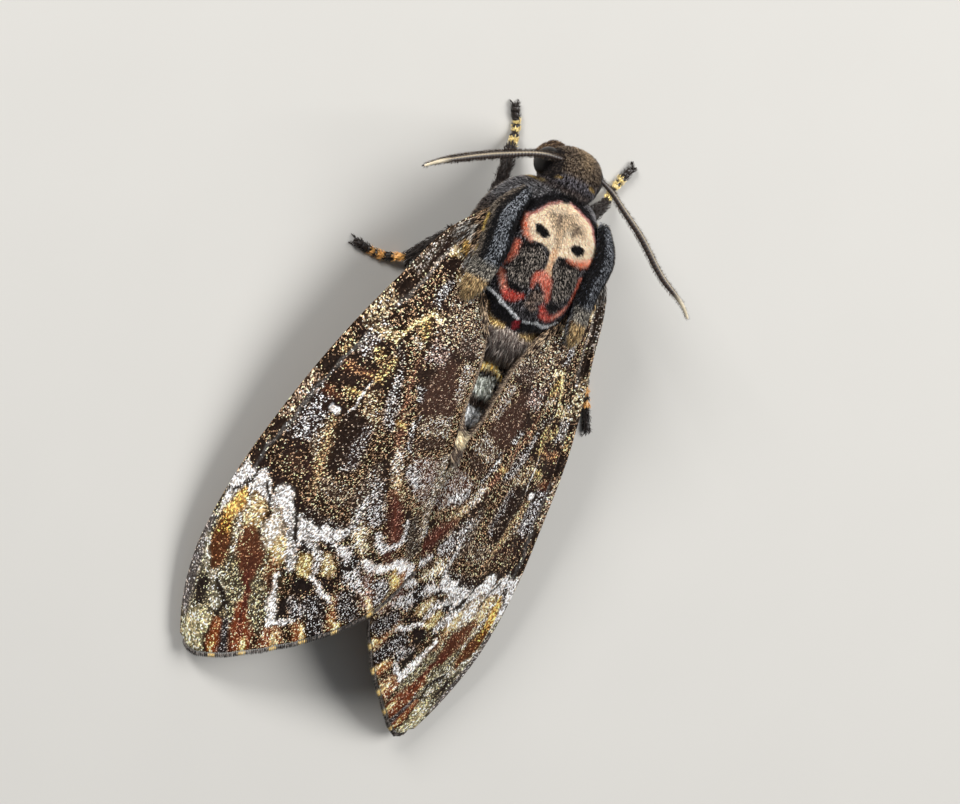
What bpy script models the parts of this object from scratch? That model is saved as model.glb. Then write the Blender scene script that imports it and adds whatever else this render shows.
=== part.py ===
"""A greater death's-head hawkmoth at rest, life size, as a still museum model.

Sizes and places are named in millimetres and turned to metres when a mesh is made. The moth faces -Y,
its left side is +X, and its feet stand on the plane Z = 0. The work is done in body coordinates, whose
origin is under the thorax between the wing roots; the last step centres the whole footprint on the origin.
"""

import bmesh
import bpy
import math
import numpy as np
from mathutils import Vector

MM = 0.001
GAP = 0.3  # air between two pieces that meet
SIDES = {"left": 1.0, "right": -1.0}
TANGENT_STEP = 0.01  # share of a path over which its direction is read

# Thorax: a blunt egg, broad at the shoulders
THORAX_FRONT, THORAX_REAR = -9.8, 9.1
THORAX_HALF_WIDTH = 8.4
THORAX_TOP, THORAX_MIDDLE, THORAX_BOTTOM = 15.3, 9.0, 2.6
THORAX_BLUNTNESS, THORAX_SQUARENESS = (0.74, 0.6), 2.3  # across and upwards: less is blunter
THORAX_FACETS = (28, 20)  # around and along, here and below

# Head: a rounded box with the eyes at its sides
HEAD_FRONT, HEAD_REAR = -14.6, -7.0
HEAD_HALF_WIDTH = 4.2
HEAD_TOP, HEAD_MIDDLE, HEAD_BOTTOM = 14.5, 10.6, 6.6
HEAD_BLUNTNESS, HEAD_SQUARENESS, HEAD_FACETS = (0.8, 0.85), 2.2, (20, 14)
EYE_CENTRE, EYE_RADII, EYE_FACETS = (3.5, -11.3, 10.0), (1.6, 2.0, 2.2), (16, 10)
PALP_PATH = ((1.6, -10.5, 6.7), (1.75, -11.9, 6.1), (1.55, -12.9, 7.1), (1.3, -13.3, 8.5))
PALP_RADII, PALP_ROUNDING, PALP_FACETS = (0.75, 1.0, 1.0, 0.6), 0.2, (10, 10)
COIL_ROOT, COIL_CENTRE = (0.0, -11.0, 7.5), (0.0, -11.9, 4.6)
COIL_RADII, COIL_FIRST_TURN, COIL_TURNS, COIL_STEPS = (1.75, 0.6), math.radians(60), 1.15, 16
COIL_TUBE_RADIUS, COIL_ROUNDING, COIL_FACETS = 0.42, 0.03, (8, 34)

# Abdomen: a cone of overlapping rings
ABDOMEN_FRONT, ABDOMEN_REAR = 6.5, 36.5
ABDOMEN_HALF_WIDTH, ABDOMEN_RISE, ABDOMEN_DROP = 6.6, 4.6, 5.3
ABDOMEN_MIDDLE, ABDOMEN_DROOP = 7.0, 1.2
ABDOMEN_RINGS, ABDOMEN_STEP = 8, 0.035
ABDOMEN_SWELL, ABDOMEN_BLUNTNESS = 0.75, 0.6  # less of the first puts the widest ring nearer the front
ABDOMEN_FACETS = (20, ABDOMEN_RINGS * 3)

# Tegula: the furred flap that covers each forewing's root
TEGULA_PATH = ((5.6, -7.3, 12.8), (7.25, -4.0, 13.25), (6.95, 0.6, 13.55), (7.15, 3.2, 13.6),
               (7.5, 6.0, 13.5))
TEGULA_HALF_WIDTH, TEGULA_HALF_THICKNESS, TEGULA_SLOPE = 1.9, 1.15, math.radians(38)
TEGULA_BLUNTNESS, TEGULA_FACETS = 0.45, (12, 12)

# Antennae: short and stout, with a hooked tip. They aren't held alike
ANTENNA_PATHS = {
    "left": ((2.6, -12.1, 12.2), (5.2, -11.7, 12.6), (10.3, -9.6, 12.5), (15.5, -7.1, 13.3),
             (18.6, -5.4, 13.9), (19.6, -4.5, 13.6)),
    "right": ((-2.6, -12.0, 12.0), (-4.9, -11.2, 12.1), (-7.5, -9.8, 12.2), (-10.5, -8.1, 12.6),
              (-15.3, -4.6, 13.5), (-19.2, -2.6, 14.0), (-20.6, -1.6, 13.7)),
}
ANTENNA_RADII, ANTENNA_ROUNDING, ANTENNA_FACETS = (0.32, 0.43, 0.48, 0.44, 0.25), 0.05, (8, 22)

# Forewing of the left side, seen flat from above as (x, y, z) along each edge
FOREWING = {
    "costa": ((6.6, -5.2, 11.0), (11.4, 0.5, 10.2), (14.0, 7.6, 8.9), (16.7, 16.0, 7.5), (19.0, 27.0, 5.4),
              (20.3, 38.5, 3.4), (20.0, 46.0, 2.2), (18.4, 52.2, 1.5), (16.7, 56.0, 1.3)),
    "margin": ((16.7, 56.0, 1.3), (15.0, 57.2, 1.8), (12.9, 56.7, 3.1), (10.2, 55.0, 4.8), (5.1, 50.8, 7.5),
               (0.0, 44.3, 10.2), (-2.5, 37.8, 11.1)),
    "inner": ((6.6, 4.4, 11.3), (4.7, 6.6, 12.3), (3.3, 8.6, 12.9), (2.6, 11.0, 13.15), (2.0, 14.8, 13.2),
              (1.6, 19.5, 13.05), (0.9, 22.4, 12.9), (0.4, 26.0, 12.6), (-0.6, 32.0, 11.9),
              (-2.5, 37.8, 11.1)),
    "camber": 0.9,
    "veins": ((0.045, 0.06, 0.97), (0.10, 0.06, 1.0), (0.213, 0.50, 1.0), (0.339, 0.52, 1.0),
              (0.459, 0.52, 1.0), (0.60, 0.05, 1.0), (0.765, 0.34, 1.0), (0.89, 0.06, 1.0)),
    "cross_vein": (0.10, 0.60, 0.51),
    "stations": 22,
}
# Hindwing of the left side, folded between the forewing and the abdomen
HINDWING = {
    "costa": ((6.2, 2.6, 9.0), (10.6, 5.6, 8.7), (13.6, 12.0, 6.9), (15.2, 20.0, 5.0), (15.4, 27.0, 3.9),
              (14.2, 32.5, 3.7)),
    "margin": ((14.2, 32.5, 3.7), (11.0, 34.8, 5.1), (7.6, 34.2, 6.9), (5.2, 31.2, 8.3)),
    "inner": ((5.4, 6.6, 9.6), (6.5, 12.0, 9.6), (6.6, 20.0, 9.5), (6.2, 27.0, 8.7), (5.2, 31.2, 8.3)),
    "camber": 0.7,
    "veins": ((0.14, 0.08, 0.96), (0.38, 0.40, 1.0), (0.62, 0.08, 1.0), (0.86, 0.10, 0.97)),
    "cross_vein": (0.14, 0.62, 0.42),
    "stations": 14,
}
WING_THICKNESS, VEIN_HEIGHT, VEIN_HALF_WIDTH = 0.5, 0.2, 0.42
CAMBER_LEAD = 0.8  # below 1 the wing is highest nearer its root
VEIN_WIDEST_SHARE, LINE_SPACING_SHARE = 0.034, 0.004  # of the chord, so that veins stay apart near the root
# Where the forewings cross over the abdomen the left one lies on the right one
OVERLAP_START, OVERLAP_FULL, OVERLAP_REACH, OVERLAP_SHIFT = 9.0, 21.0, 7.5, 0.62

# Legs: joints from the coxa's root to the claws, all in body coordinates
LEG_JOINTS = {
    "leg_fore_left": ((1.9, -6.0, 4.6), (2.3, -2.8, 1.8), (4.2, -7.8, 3.6), (3.6, -11.2, 1.5),
                      (3.3, -13.2, 0.5), (4.7, -15.9, 0.42)),
    "leg_fore_right": ((-1.9, -6.0, 4.6), (-2.3, -2.8, 1.8), (-7.4, -6.6, 4.6), (-11.1, -10.2, 1.5),
                       (-11.9, -12.2, 0.5), (-13.1, -15.2, 0.42)),
    "leg_mid_left": ((3.2, 0.6, 4.4), (3.4, 1.4, 1.8), (8.3, 0.6, 5.6), (10.0, 5.3, 1.5), (12.2, 6.3, 0.5),
                     (16.5, 6.2, 0.42)),
    "leg_mid_right": ((-3.2, 0.6, 4.4), (-3.4, 1.4, 1.8), (-10.3, 2.0, 6.0), (-17.2, 7.3, 1.5),
                      (-19.3, 10.0, 0.5), (-22.3, 15.0, 0.42)),
    "leg_hind_left": ((3.0, 4.6, 4.9), (3.5, 5.9, 1.9), (8.0, 10.8, 4.8), (9.8, 18.0, 1.5),
                      (10.3, 20.5, 0.5), (11.4, 26.0, 0.42)),
    "leg_hind_right": ((-3.0, 4.6, 4.9), (-3.5, 5.9, 1.9), (-8.0, 10.4, 4.8), (-10.2, 17.2, 1.5),
                       (-10.9, 19.6, 0.5), (-12.6, 24.8, 0.42)),
}
COXA_RADII, FEMUR_RADII, TIBIA_RADII = (0.9, 1.15, 0.75), (0.6, 1.0, 0.55), (0.5, 0.72, 0.5)
LIMB_REACH, LIMB_ROUNDING = 0.35, 0.16  # how far a limb runs past its joints, and its rounded share
LIMB_FACETS, TARSUS_FACETS = (8, 7), (8, 24)
TARSUS_RADIUS, TARSUS_WAIST = 0.5, 0.6
TARSUS_SHARES = (0.0, 0.40, 0.60, 0.75, 0.87, 1.0)
TARSUS_TAPER, TARSUS_ROUNDING, TARSUS_REACH = 0.4, 0.04, 0.4
TARSUS_SLICES = 4  # radii given for each foot joint
CLAW_LENGTH, CLAW_RADIUS, CLAW_SPREAD, CLAW_SETBACK = 0.95, 0.2, math.radians(28), 0.35
SPUR_LENGTH, SPUR_RADIUS, SPUR_SPREAD, SPUR_SETBACK = 1.9, 0.24, math.radians(32), 0.3
CLAW_DROP, SPUR_DROP = -0.1, -0.3
CLAW_AIM_SHARE = 0.9  # the claws point on from here through the foot's end
SPIKE_SIDES, SPIKE_TIP_SHARE = 6, 0.3
FLOOR_CUTTER_SIZE = 240.0
SEAM_MERGE = 0.004  # points that a cut leaves nearer than this become one
CUTTER_TWIST = 0.07  # turns a cutter's facets off those of what it cuts

COLOURS = {
    "brown_fur": ((0.055, 0.04, 0.032), 0.85),
    "slate_fur": ((0.10, 0.11, 0.13), 0.85),
    "abdomen_scales": ((0.42, 0.30, 0.10), 0.75),
    "forewing_scales": ((0.09, 0.06, 0.04), 0.7),
    "hindwing_scales": ((0.45, 0.30, 0.06), 0.7),
    "eye": ((0.01, 0.008, 0.008), 0.15),
    "horn": ((0.05, 0.04, 0.03), 0.5),
    "leg_scales": ((0.06, 0.05, 0.035), 0.6),
}


def clear_scene():
    for obj in list(bpy.data.objects):
        bpy.data.objects.remove(obj, do_unlink=True)


def new_collection(name):
    found = bpy.data.collections.new(name)
    bpy.context.scene.collection.children.link(found)
    return found


def material(name):
    found = bpy.data.materials.get(name)
    if found is None:
        colour, roughness = COLOURS[name]
        found = bpy.data.materials.new(name)
        found.use_nodes = True
        shader = found.node_tree.nodes["Principled BSDF"]
        shader.inputs["Base Color"].default_value = (*colour, 1.0)
        shader.inputs["Roughness"].default_value = roughness
        shader.inputs["Metallic"].default_value = 0.0
    return found


def add_object(name, mesh, collection, finish=None):
    obj = bpy.data.objects.new(name, mesh)
    collection.objects.link(obj)
    if finish:
        mesh.materials.clear()
        mesh.materials.append(material(finish))
        mesh.shade_smooth()
    return obj


def along(points, shares):
    """Points of a smooth curve through the given ones, at shares (0 to 1) of its chord length."""
    knots = np.array(points, float)
    chord = np.linalg.norm(np.diff(knots, axis=0), axis=1)
    at = np.concatenate([[0.0], np.cumsum(chord)]) / chord.sum()
    slope = np.gradient(knots, at, axis=0, edge_order=1)
    shares = np.clip(np.asarray(shares, float), 0.0, 1.0)
    i = np.clip(np.searchsorted(at, shares, side="right") - 1, 0, len(at) - 2)
    span = at[i + 1] - at[i]
    u = ((shares - at[i]) / span)[..., None]
    span = span[..., None]
    return (
        (2 * u**3 - 3 * u**2 + 1) * knots[i]
        + (u**3 - 2 * u**2 + u) * span * slope[i]
        + (-2 * u**3 + 3 * u**2) * knots[i + 1]
        + (u**3 - u**2) * span * slope[i + 1]
    )


def face_outwards(bm):
    if bm.calc_volume(signed=True) < 0:
        bmesh.ops.reverse_faces(bm, faces=bm.faces)


def rounded(value, power):
    """Keeps the sign of a sine or cosine and bends a circle towards a square."""
    return math.copysign(abs(value) ** power, value)


def shaped_ball(name, facets, place, collection, finish=None):
    """A UV sphere whose vertices go where place(share from pole to pole, angle) says, in millimetres."""
    bm = bmesh.new()
    bmesh.ops.create_uvsphere(bm, u_segments=facets[0], v_segments=facets[1], radius=1.0)
    for vertex in bm.verts:
        share = math.acos(max(-1.0, min(1.0, vertex.co.z))) / math.pi
        angle = math.atan2(vertex.co.y, vertex.co.x)
        vertex.co = Vector(place(share, angle)) * MM
    face_outwards(bm)
    mesh = bpy.data.meshes.new(name)
    bm.to_mesh(mesh)
    bm.free()
    return add_object(name, mesh, collection, finish)


def egg(front, rear, half_width, top, middle, bottom, bluntness, squareness, grow, twist):
    """The place of each point of a blunt egg that lies along Y, grown outwards by grow."""

    def place(share, angle):
        angle += twist
        across, upwards = (math.sin(math.pi * share) ** power for power in bluntness)
        y = front - grow + (rear - front + 2 * grow) * (1 - math.cos(math.pi * share)) / 2
        power = 2 / squareness
        height = (top if math.sin(angle) > 0 else 2 * middle - bottom) - middle + grow
        x = (half_width + grow) * across * rounded(math.cos(angle), power)
        return x, y, middle + height * upwards * rounded(math.sin(angle), power)

    return place


def thorax_place(grow=0.0, twist=0.0):
    return egg(THORAX_FRONT, THORAX_REAR, THORAX_HALF_WIDTH, THORAX_TOP, THORAX_MIDDLE, THORAX_BOTTOM,
               THORAX_BLUNTNESS, THORAX_SQUARENESS, grow, twist)


def head_place(grow=0.0, twist=0.0):
    return egg(HEAD_FRONT, HEAD_REAR, HEAD_HALF_WIDTH, HEAD_TOP, HEAD_MIDDLE, HEAD_BOTTOM,
               HEAD_BLUNTNESS, HEAD_SQUARENESS, grow, twist)


def abdomen_place(share, angle):
    """Each ring of the abdomen widens towards its rear edge and laps over the next one."""
    fullness = math.sin(math.pi * share**ABDOMEN_SWELL) ** ABDOMEN_BLUNTNESS if 0 < share < 1 else 0.0
    ring = (share * ABDOMEN_RINGS) % 1.0
    fullness *= 1 + ABDOMEN_STEP * (ring - 0.5)
    y = ABDOMEN_FRONT + (ABDOMEN_REAR - ABDOMEN_FRONT) * share
    middle = ABDOMEN_MIDDLE - ABDOMEN_DROOP * share**2
    height = ABDOMEN_RISE if math.sin(angle) > 0 else ABDOMEN_DROP
    return ABDOMEN_HALF_WIDTH * fullness * math.cos(angle), y, middle + height * fullness * math.sin(angle)


def frames_along(path, shares):
    """Centre, sideways and upward unit vectors of a curve at each share."""
    centre = along(path, shares)
    ahead = along(path, np.array(shares) + TANGENT_STEP) - along(path, np.array(shares) - TANGENT_STEP)
    ahead /= np.linalg.norm(ahead, axis=1)[:, None]
    aside = np.cross(ahead, (0.0, 0.0, 1.0))
    aside /= np.linalg.norm(aside, axis=1)[:, None]
    return centre, aside, np.cross(aside, ahead)


def limb(name, path, radii, facets, rounding, collection, finish=None):
    """A closed tube along a smooth path, its radius read from evenly spaced radii, with rounded ends."""

    def place(share, angle):
        centre, aside, up = (v[0] for v in frames_along(path, [share]))
        radius = float(np.interp(share, np.linspace(0, 1, len(radii)), radii))
        end = min(share, 1 - share) / rounding
        radius *= math.sqrt(max(0.0, 1 - (1 - min(1.0, end)) ** 2))
        return centre + radius * (math.cos(angle) * aside + math.sin(angle) * up)

    return shaped_ball(name, facets, place, collection, finish)


def cone(name, start, direction, length, radius, collection):
    """A spike with a blunt tip, for a claw or a spur."""
    bm = bmesh.new()
    bmesh.ops.create_cone(bm, cap_ends=True, segments=SPIKE_SIDES, radius1=radius * MM,
                          radius2=radius * SPIKE_TIP_SHARE * MM, depth=length * MM)
    mesh = bpy.data.meshes.new(name)
    bm.to_mesh(mesh)
    bm.free()
    obj = add_object(name, mesh, collection)
    direction = Vector(direction).normalized()
    obj.rotation_mode = "QUATERNION"
    obj.rotation_quaternion = direction.to_track_quat("Z", "Y")
    obj.location = (Vector(start) + direction * length / 2) * MM
    return obj


def cut(obj, cutter, solver="EXACT"):
    modifier = obj.modifiers.new("cut_by_" + cutter.name, "BOOLEAN")
    modifier.operation = "DIFFERENCE"
    modifier.solver = solver
    modifier.object = cutter


def baked(obj):
    """The object with its modifiers applied."""
    bpy.context.view_layer.update()
    graph = bpy.context.evaluated_depsgraph_get()
    mesh = bpy.data.meshes.new_from_object(obj.evaluated_get(graph))
    obj.modifiers.clear()
    obj.data = mesh
    return obj


def largest_shell(obj):
    """Merges the near points that cuts leave, and keeps the largest connected surface of a mesh."""
    bm = bmesh.new()
    bm.from_mesh(obj.data)
    bmesh.ops.remove_doubles(bm, verts=bm.verts, dist=SEAM_MERGE * MM)
    bmesh.ops.dissolve_degenerate(bm, edges=bm.edges, dist=SEAM_MERGE * MM)
    left, shells = set(bm.verts), []
    while left:
        shell, todo = set(), [left.pop()]
        while todo:
            vertex = todo.pop()
            shell.add(vertex)
            near = {edge.other_vert(vertex) for edge in vertex.link_edges} & left
            left -= near
            todo += near
        shells.append(shell)
    keep = max(shells, key=len)
    bmesh.ops.delete(bm, geom=[v for v in bm.verts if v not in keep], context="VERTS")
    bm.to_mesh(obj.data)
    bm.free()
    return obj


def joined(name, pieces, scraps, collection, finish):
    """One closed body from the pieces, which are removed. EXACT leaves open seams here, MANIFOLD none."""
    first = pieces[0]
    for piece in pieces[1:]:
        scraps.objects.link(piece)
        collection.objects.unlink(piece)
    modifier = first.modifiers.new("join", "BOOLEAN")
    modifier.operation = "UNION"
    modifier.solver = "MANIFOLD"
    modifier.operand_type = "COLLECTION"
    modifier.collection = scraps
    baked(first)
    for piece in pieces[1:]:
        bpy.data.objects.remove(piece, do_unlink=True)
    first.name = name
    first.data.name = name
    first.data.materials.clear()
    first.data.materials.append(material(finish))
    return first


def make_cutter(obj, cutters):
    obj.display_type = "WIRE"
    obj.hide_render = True
    for collection in list(obj.users_collection):
        collection.objects.unlink(obj)
    cutters.objects.link(obj)
    return obj


def floor_cutter(cutters):
    bm = bmesh.new()
    bmesh.ops.create_cube(bm, size=FLOOR_CUTTER_SIZE * MM)
    mesh = bpy.data.meshes.new("floor_cutter")
    bm.to_mesh(mesh)
    bm.free()
    obj = add_object("floor_cutter", mesh, cutters)
    obj.location = (0.0, 0.0, -FLOOR_CUTTER_SIZE / 2 * MM)
    return make_cutter(obj, cutters)


def wing_points(wing, s, t):
    """Middle surface of a wing: s runs from root to outer margin, t from the front edge to the inner one."""
    s, t = np.broadcast_arrays(s, t)
    root = (wing["costa"][0], wing["inner"][0])
    sk, tk = s[..., None], t[..., None]
    edges = along(wing["costa"], s) * (1 - tk) + along(wing["inner"], s) * tk
    ends = along(root, t) * (1 - sk) + along(wing["margin"], t) * sk
    corners = [np.array(wing[edge][i], float) for edge, i in
               (("costa", 0), ("inner", 0), ("costa", -1), ("inner", -1))]
    at_root = corners[0] * (1 - tk) + corners[1] * tk
    at_margin = corners[2] * (1 - tk) + corners[3] * tk
    points = edges + ends - at_root * (1 - sk) - at_margin * sk
    bulge = np.sin(math.pi * t) * np.sin(math.pi * np.clip(s, 0, 1) ** CAMBER_LEAD)
    points[..., 2] += wing["camber"] * bulge
    return points


def crossing_shift(points):
    """How far the forewings move apart in height, most on the midline behind the thorax."""
    back = np.clip((points[..., 1] - OVERLAP_START) / (OVERLAP_FULL - OVERLAP_START), 0, 1)
    near = np.clip(1 - np.abs(points[..., 0]) / OVERLAP_REACH, 0, 1)
    return OVERLAP_SHIFT * back * near * (2 - near)


def vein_lines(wing, s):
    """Shares t of the grid lines at one station: both edges, and the foot, crest and foot of every vein."""
    chord = np.linalg.norm(wing_points(wing, s, 0.0) - wing_points(wing, s, 1.0))
    half = min(VEIN_WIDEST_SHARE, VEIN_HALF_WIDTH / chord)
    lines = [0.0]
    for at, _, _ in wing["veins"]:
        lines += [max(at - half, lines[-1] + LINE_SPACING_SHARE), at, at + half]
    return lines + [1.0]


def vein_height(wing, line, s):
    """Height of the ridge on a grid line: only crests rise, between the vein's start and its end."""
    height = 0.0
    if 0 < line < 3 * len(wing["veins"]) + 1 and line % 3 == 2:
        at, start, end = wing["veins"][line // 3]
        near, far, station = wing["cross_vein"]
        half_station = 0.5 / wing["stations"]
        if start <= s <= end or (near < at < far and abs(s - station) < half_station):
            height = VEIN_HEIGHT
    return height


def build_wing(name, wing, side, lift, collection, finish):
    """A grid bent to the wing's surface, with its veins as ridges, made solid."""
    stations = np.linspace(0, 1, wing["stations"])
    columns = 3 * len(wing["veins"]) + 2
    bm = bmesh.new()
    bmesh.ops.create_grid(bm, x_segments=columns - 1, y_segments=len(stations) - 1, size=1.0)
    for vertex in bm.verts:
        line = round((vertex.co.x + 1) / 2 * (columns - 1))
        s = stations[round((vertex.co.y + 1) / 2 * (len(stations) - 1))]
        point = wing_points(wing, s, vein_lines(wing, s)[line])
        point[2] += vein_height(wing, line, s) + lift * crossing_shift(point)
        vertex.co = Vector((point[0] * side, point[1], point[2])) * MM
    bmesh.ops.triangulate(bm, faces=bm.faces)
    bmesh.ops.recalc_face_normals(bm, faces=bm.faces)
    bm.normal_update()
    if sum(face.normal.z for face in bm.faces) < 0:
        bmesh.ops.reverse_faces(bm, faces=bm.faces)
    mesh = bpy.data.meshes.new(name)
    bm.to_mesh(mesh)
    bm.free()
    obj = add_object(name, mesh, collection, finish)
    solid = obj.modifiers.new("thickness", "SOLIDIFY")
    solid.thickness = WING_THICKNESS * MM
    solid.offset = 0.0
    solid.use_even_offset = True
    solid.thickness_clamp = 1.0
    return obj


def build_tegula(side_name, collection):
    side = SIDES[side_name]
    outward = np.array((math.cos(TEGULA_SLOPE), 0.0, -math.sin(TEGULA_SLOPE)))
    up = np.array((math.sin(TEGULA_SLOPE), 0.0, math.cos(TEGULA_SLOPE)))

    def place(share, angle):
        centre = along(TEGULA_PATH, share)
        fullness = math.sin(math.pi * share) ** TEGULA_BLUNTNESS
        point = centre + fullness * (TEGULA_HALF_WIDTH * math.cos(angle) * outward
                                     + TEGULA_HALF_THICKNESS * math.sin(angle) * up)
        return point[0] * side, point[1], point[2]

    return shaped_ball("tegula_" + side_name, TEGULA_FACETS, place, collection, "slate_fur")


def build_eye(side_name, collection, grow=0.0, name=None):
    def place(share, angle):
        ring = math.sin(math.pi * share)
        unit = (math.cos(math.pi * share), ring * math.cos(angle), ring * math.sin(angle))
        x, y, z = (c + (r + grow) * u for c, r, u in zip(EYE_CENTRE, EYE_RADII, unit))
        return x * SIDES[side_name], y, z

    return shaped_ball(name or "eye_" + side_name, EYE_FACETS, place, collection, "eye")


def build_palp(side_name, collection):
    path = [(x * SIDES[side_name], y, z) for x, y, z in PALP_PATH]
    return limb("palp_" + side_name, path, PALP_RADII, PALP_FACETS, PALP_ROUNDING, collection, "brown_fur")


def build_proboscis(collection):
    """The tongue's coil, from the underside of the head and round inwards."""
    path = [COIL_ROOT]
    for step in range(COIL_STEPS + 1):
        share = step / COIL_STEPS
        turn = COIL_FIRST_TURN - share * COIL_TURNS * 2 * math.pi
        radius = COIL_RADII[0] + (COIL_RADII[1] - COIL_RADII[0]) * share
        x, y, z = COIL_CENTRE
        path.append((x, y + radius * math.cos(turn), z + radius * math.sin(turn)))

    def place(share, angle):
        centre = along(path, share)
        ahead = along(path, share + TANGENT_STEP) - along(path, share - TANGENT_STEP)
        ahead /= np.linalg.norm(ahead)
        outward = np.cross((1.0, 0.0, 0.0), ahead)
        end = min(1.0, min(share, 1 - share) / COIL_ROUNDING)
        radius = COIL_TUBE_RADIUS * math.sqrt(max(0.0, 1 - (1 - end) ** 2))
        return centre + radius * (math.cos(angle) * np.array((1.0, 0.0, 0.0)) + math.sin(angle) * outward)

    return shaped_ball("proboscis", COIL_FACETS, place, collection, "horn")


def build_antenna(side_name, collection):
    path = ANTENNA_PATHS[side_name]
    name = "antenna_" + side_name
    return limb(name, path, ANTENNA_RADII, ANTENNA_FACETS, ANTENNA_ROUNDING, collection, "horn")


def build_leg(name, joints, collection, scraps):
    """Coxa, femur, tibia and a foot of five joints, with claws and spurs, fused to one body."""
    joints = [np.array(joint, float) for joint in joints]
    pieces = []
    for label, start, end, radii in (
        ("coxa", 0, 1, COXA_RADII),
        ("femur", 1, 2, FEMUR_RADII),
        ("tibia", 2, 3, TIBIA_RADII),
    ):
        reach = (joints[end] - joints[start]) / np.linalg.norm(joints[end] - joints[start]) * LIMB_REACH
        path = (joints[start] - reach, (joints[start] + joints[end]) / 2, joints[end] + reach)
        pieces.append(limb(f"{name}_{label}", path, radii, LIMB_FACETS, LIMB_ROUNDING, collection))
    foot = joints[3:]
    start = foot[0] - (along(foot, 0.1) - foot[0]) * TARSUS_REACH
    slices = (len(TARSUS_SHARES) - 1) * TARSUS_SLICES
    steps = np.arange(slices + 1)
    at_joint = steps % TARSUS_SLICES == 0
    radii = TARSUS_RADIUS * np.where(at_joint, TARSUS_WAIST, 1 - TARSUS_TAPER * steps / slices)
    at = np.interp(steps / TARSUS_SLICES, range(len(TARSUS_SHARES)), TARSUS_SHARES)
    radii = np.interp(np.linspace(0, 1, 3 * slices + 1), at, radii)
    path = (start, *foot[1:])
    pieces.append(limb(f"{name}_foot", path, radii, TARSUS_FACETS, TARSUS_ROUNDING, collection))
    heading = Vector(foot[-1] - along(foot, CLAW_AIM_SHARE))
    for turn in (-1, 1):
        angle = math.atan2(heading.y, heading.x) + turn * CLAW_SPREAD
        direction = Vector((math.cos(angle), math.sin(angle), CLAW_DROP))
        start = Vector(foot[-1]) - direction * CLAW_SETBACK
        start += Vector((-direction.y, direction.x, 0.0)) * CLAW_RADIUS * turn
        pieces.append(cone(f"{name}_claw{turn}", start, direction, CLAW_LENGTH, CLAW_RADIUS, collection))
    if "fore" not in name:
        shin = Vector(joints[3] - joints[2]).normalized()
        for turn in (-1, 1):
            angle = math.atan2(shin.y, shin.x) + turn * SPUR_SPREAD
            direction = Vector((math.cos(angle), math.sin(angle), SPUR_DROP))
            start = Vector(joints[3]) - direction * SPUR_SETBACK
            start += Vector((-direction.y, direction.x, 0.0)) * SPUR_RADIUS * turn
            pieces.append(cone(f"{name}_spur{turn}", start, direction, SPUR_LENGTH, SPUR_RADIUS, collection))
    return joined(name, pieces, scraps, collection, "leg_scales")


def stand_over_origin(objects):
    """Moves every object so that the middle of the footprint is the origin."""
    bpy.context.view_layer.update()
    graph = bpy.context.evaluated_depsgraph_get()
    low, high = np.full(3, np.inf), np.full(3, -np.inf)
    for obj in objects:
        evaluated = obj.evaluated_get(graph)
        mesh = evaluated.to_mesh()
        points = np.array([obj.matrix_world @ v.co for v in mesh.vertices])
        evaluated.to_mesh_clear()
        low, high = np.minimum(low, points.min(0)), np.maximum(high, points.max(0))
    centre = (low + high) / 2
    anchor = bpy.data.objects.new("moth", None)
    bpy.context.scene.collection.objects.link(anchor)
    for obj in bpy.data.objects:
        if obj != anchor:
            obj.parent = anchor
    anchor.location = (-centre[0], -centre[1], 0.0)


def main():
    clear_scene()
    moth, cutters, scraps = new_collection("hawkmoth"), new_collection("cutters"), new_collection("scraps")
    body = [
        shaped_ball("thorax", THORAX_FACETS, thorax_place(), moth, "brown_fur"),
        shaped_ball("head", HEAD_FACETS, head_place(), moth, "brown_fur"),
        shaped_ball("abdomen", ABDOMEN_FACETS, abdomen_place, moth, "abdomen_scales"),
    ]
    thorax_cutter = shaped_ball("thorax_cutter", THORAX_FACETS, thorax_place(GAP, CUTTER_TWIST), cutters)
    head_cutter = shaped_ball("head_cutter", HEAD_FACETS, head_place(GAP, CUTTER_TWIST), cutters)
    for obj in (thorax_cutter, head_cutter):
        make_cutter(obj, cutters)
    floor = floor_cutter(cutters)
    for obj in body[1:]:
        cut(obj, thorax_cutter)

    parts = [build_proboscis(moth)]
    cut(parts[0], head_cutter)
    for side_name, side in SIDES.items():
        on_head = [build_eye(side_name, moth), build_palp(side_name, moth), build_antenna(side_name, moth)]
        for obj in on_head:
            cut(obj, head_cutter)
        eye_cutter = make_cutter(build_eye(side_name, cutters, GAP, f"eye_cutter_{side_name}"), cutters)
        cut(on_head[2], eye_cutter)
        tegula = build_tegula(side_name, moth)
        forewing = build_wing("forewing_" + side_name, FOREWING, side, side, moth, "forewing_scales")
        hindwing = build_wing("hindwing_" + side_name, HINDWING, side, 0.0, moth, "hindwing_scales")
        cut(tegula, thorax_cutter)
        cut(forewing, thorax_cutter, "MANIFOLD")
        cut(hindwing, thorax_cutter, "MANIFOLD")
        parts += [*on_head, tegula, forewing, hindwing]

    legs = [build_leg(name, joints, moth, scraps) for name, joints in LEG_JOINTS.items()]
    for leg in legs:
        cut(leg, thorax_cutter)
        cut(leg, floor)
    for obj in [*body, *parts, *legs]:
        largest_shell(baked(obj))
    bpy.data.collections.remove(scraps)
    stand_over_origin([*body, *parts, *legs])


main()
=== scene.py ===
# Greater death's-head hawkmoth at rest, life size, finished as a museum model:
# scaled wings, plush body hair, glossy eyes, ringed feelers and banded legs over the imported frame.
# All sizes below are millimetres in the moth's own axes: +X its left side, -Y its head, Z up.

import itertools
import math

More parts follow.
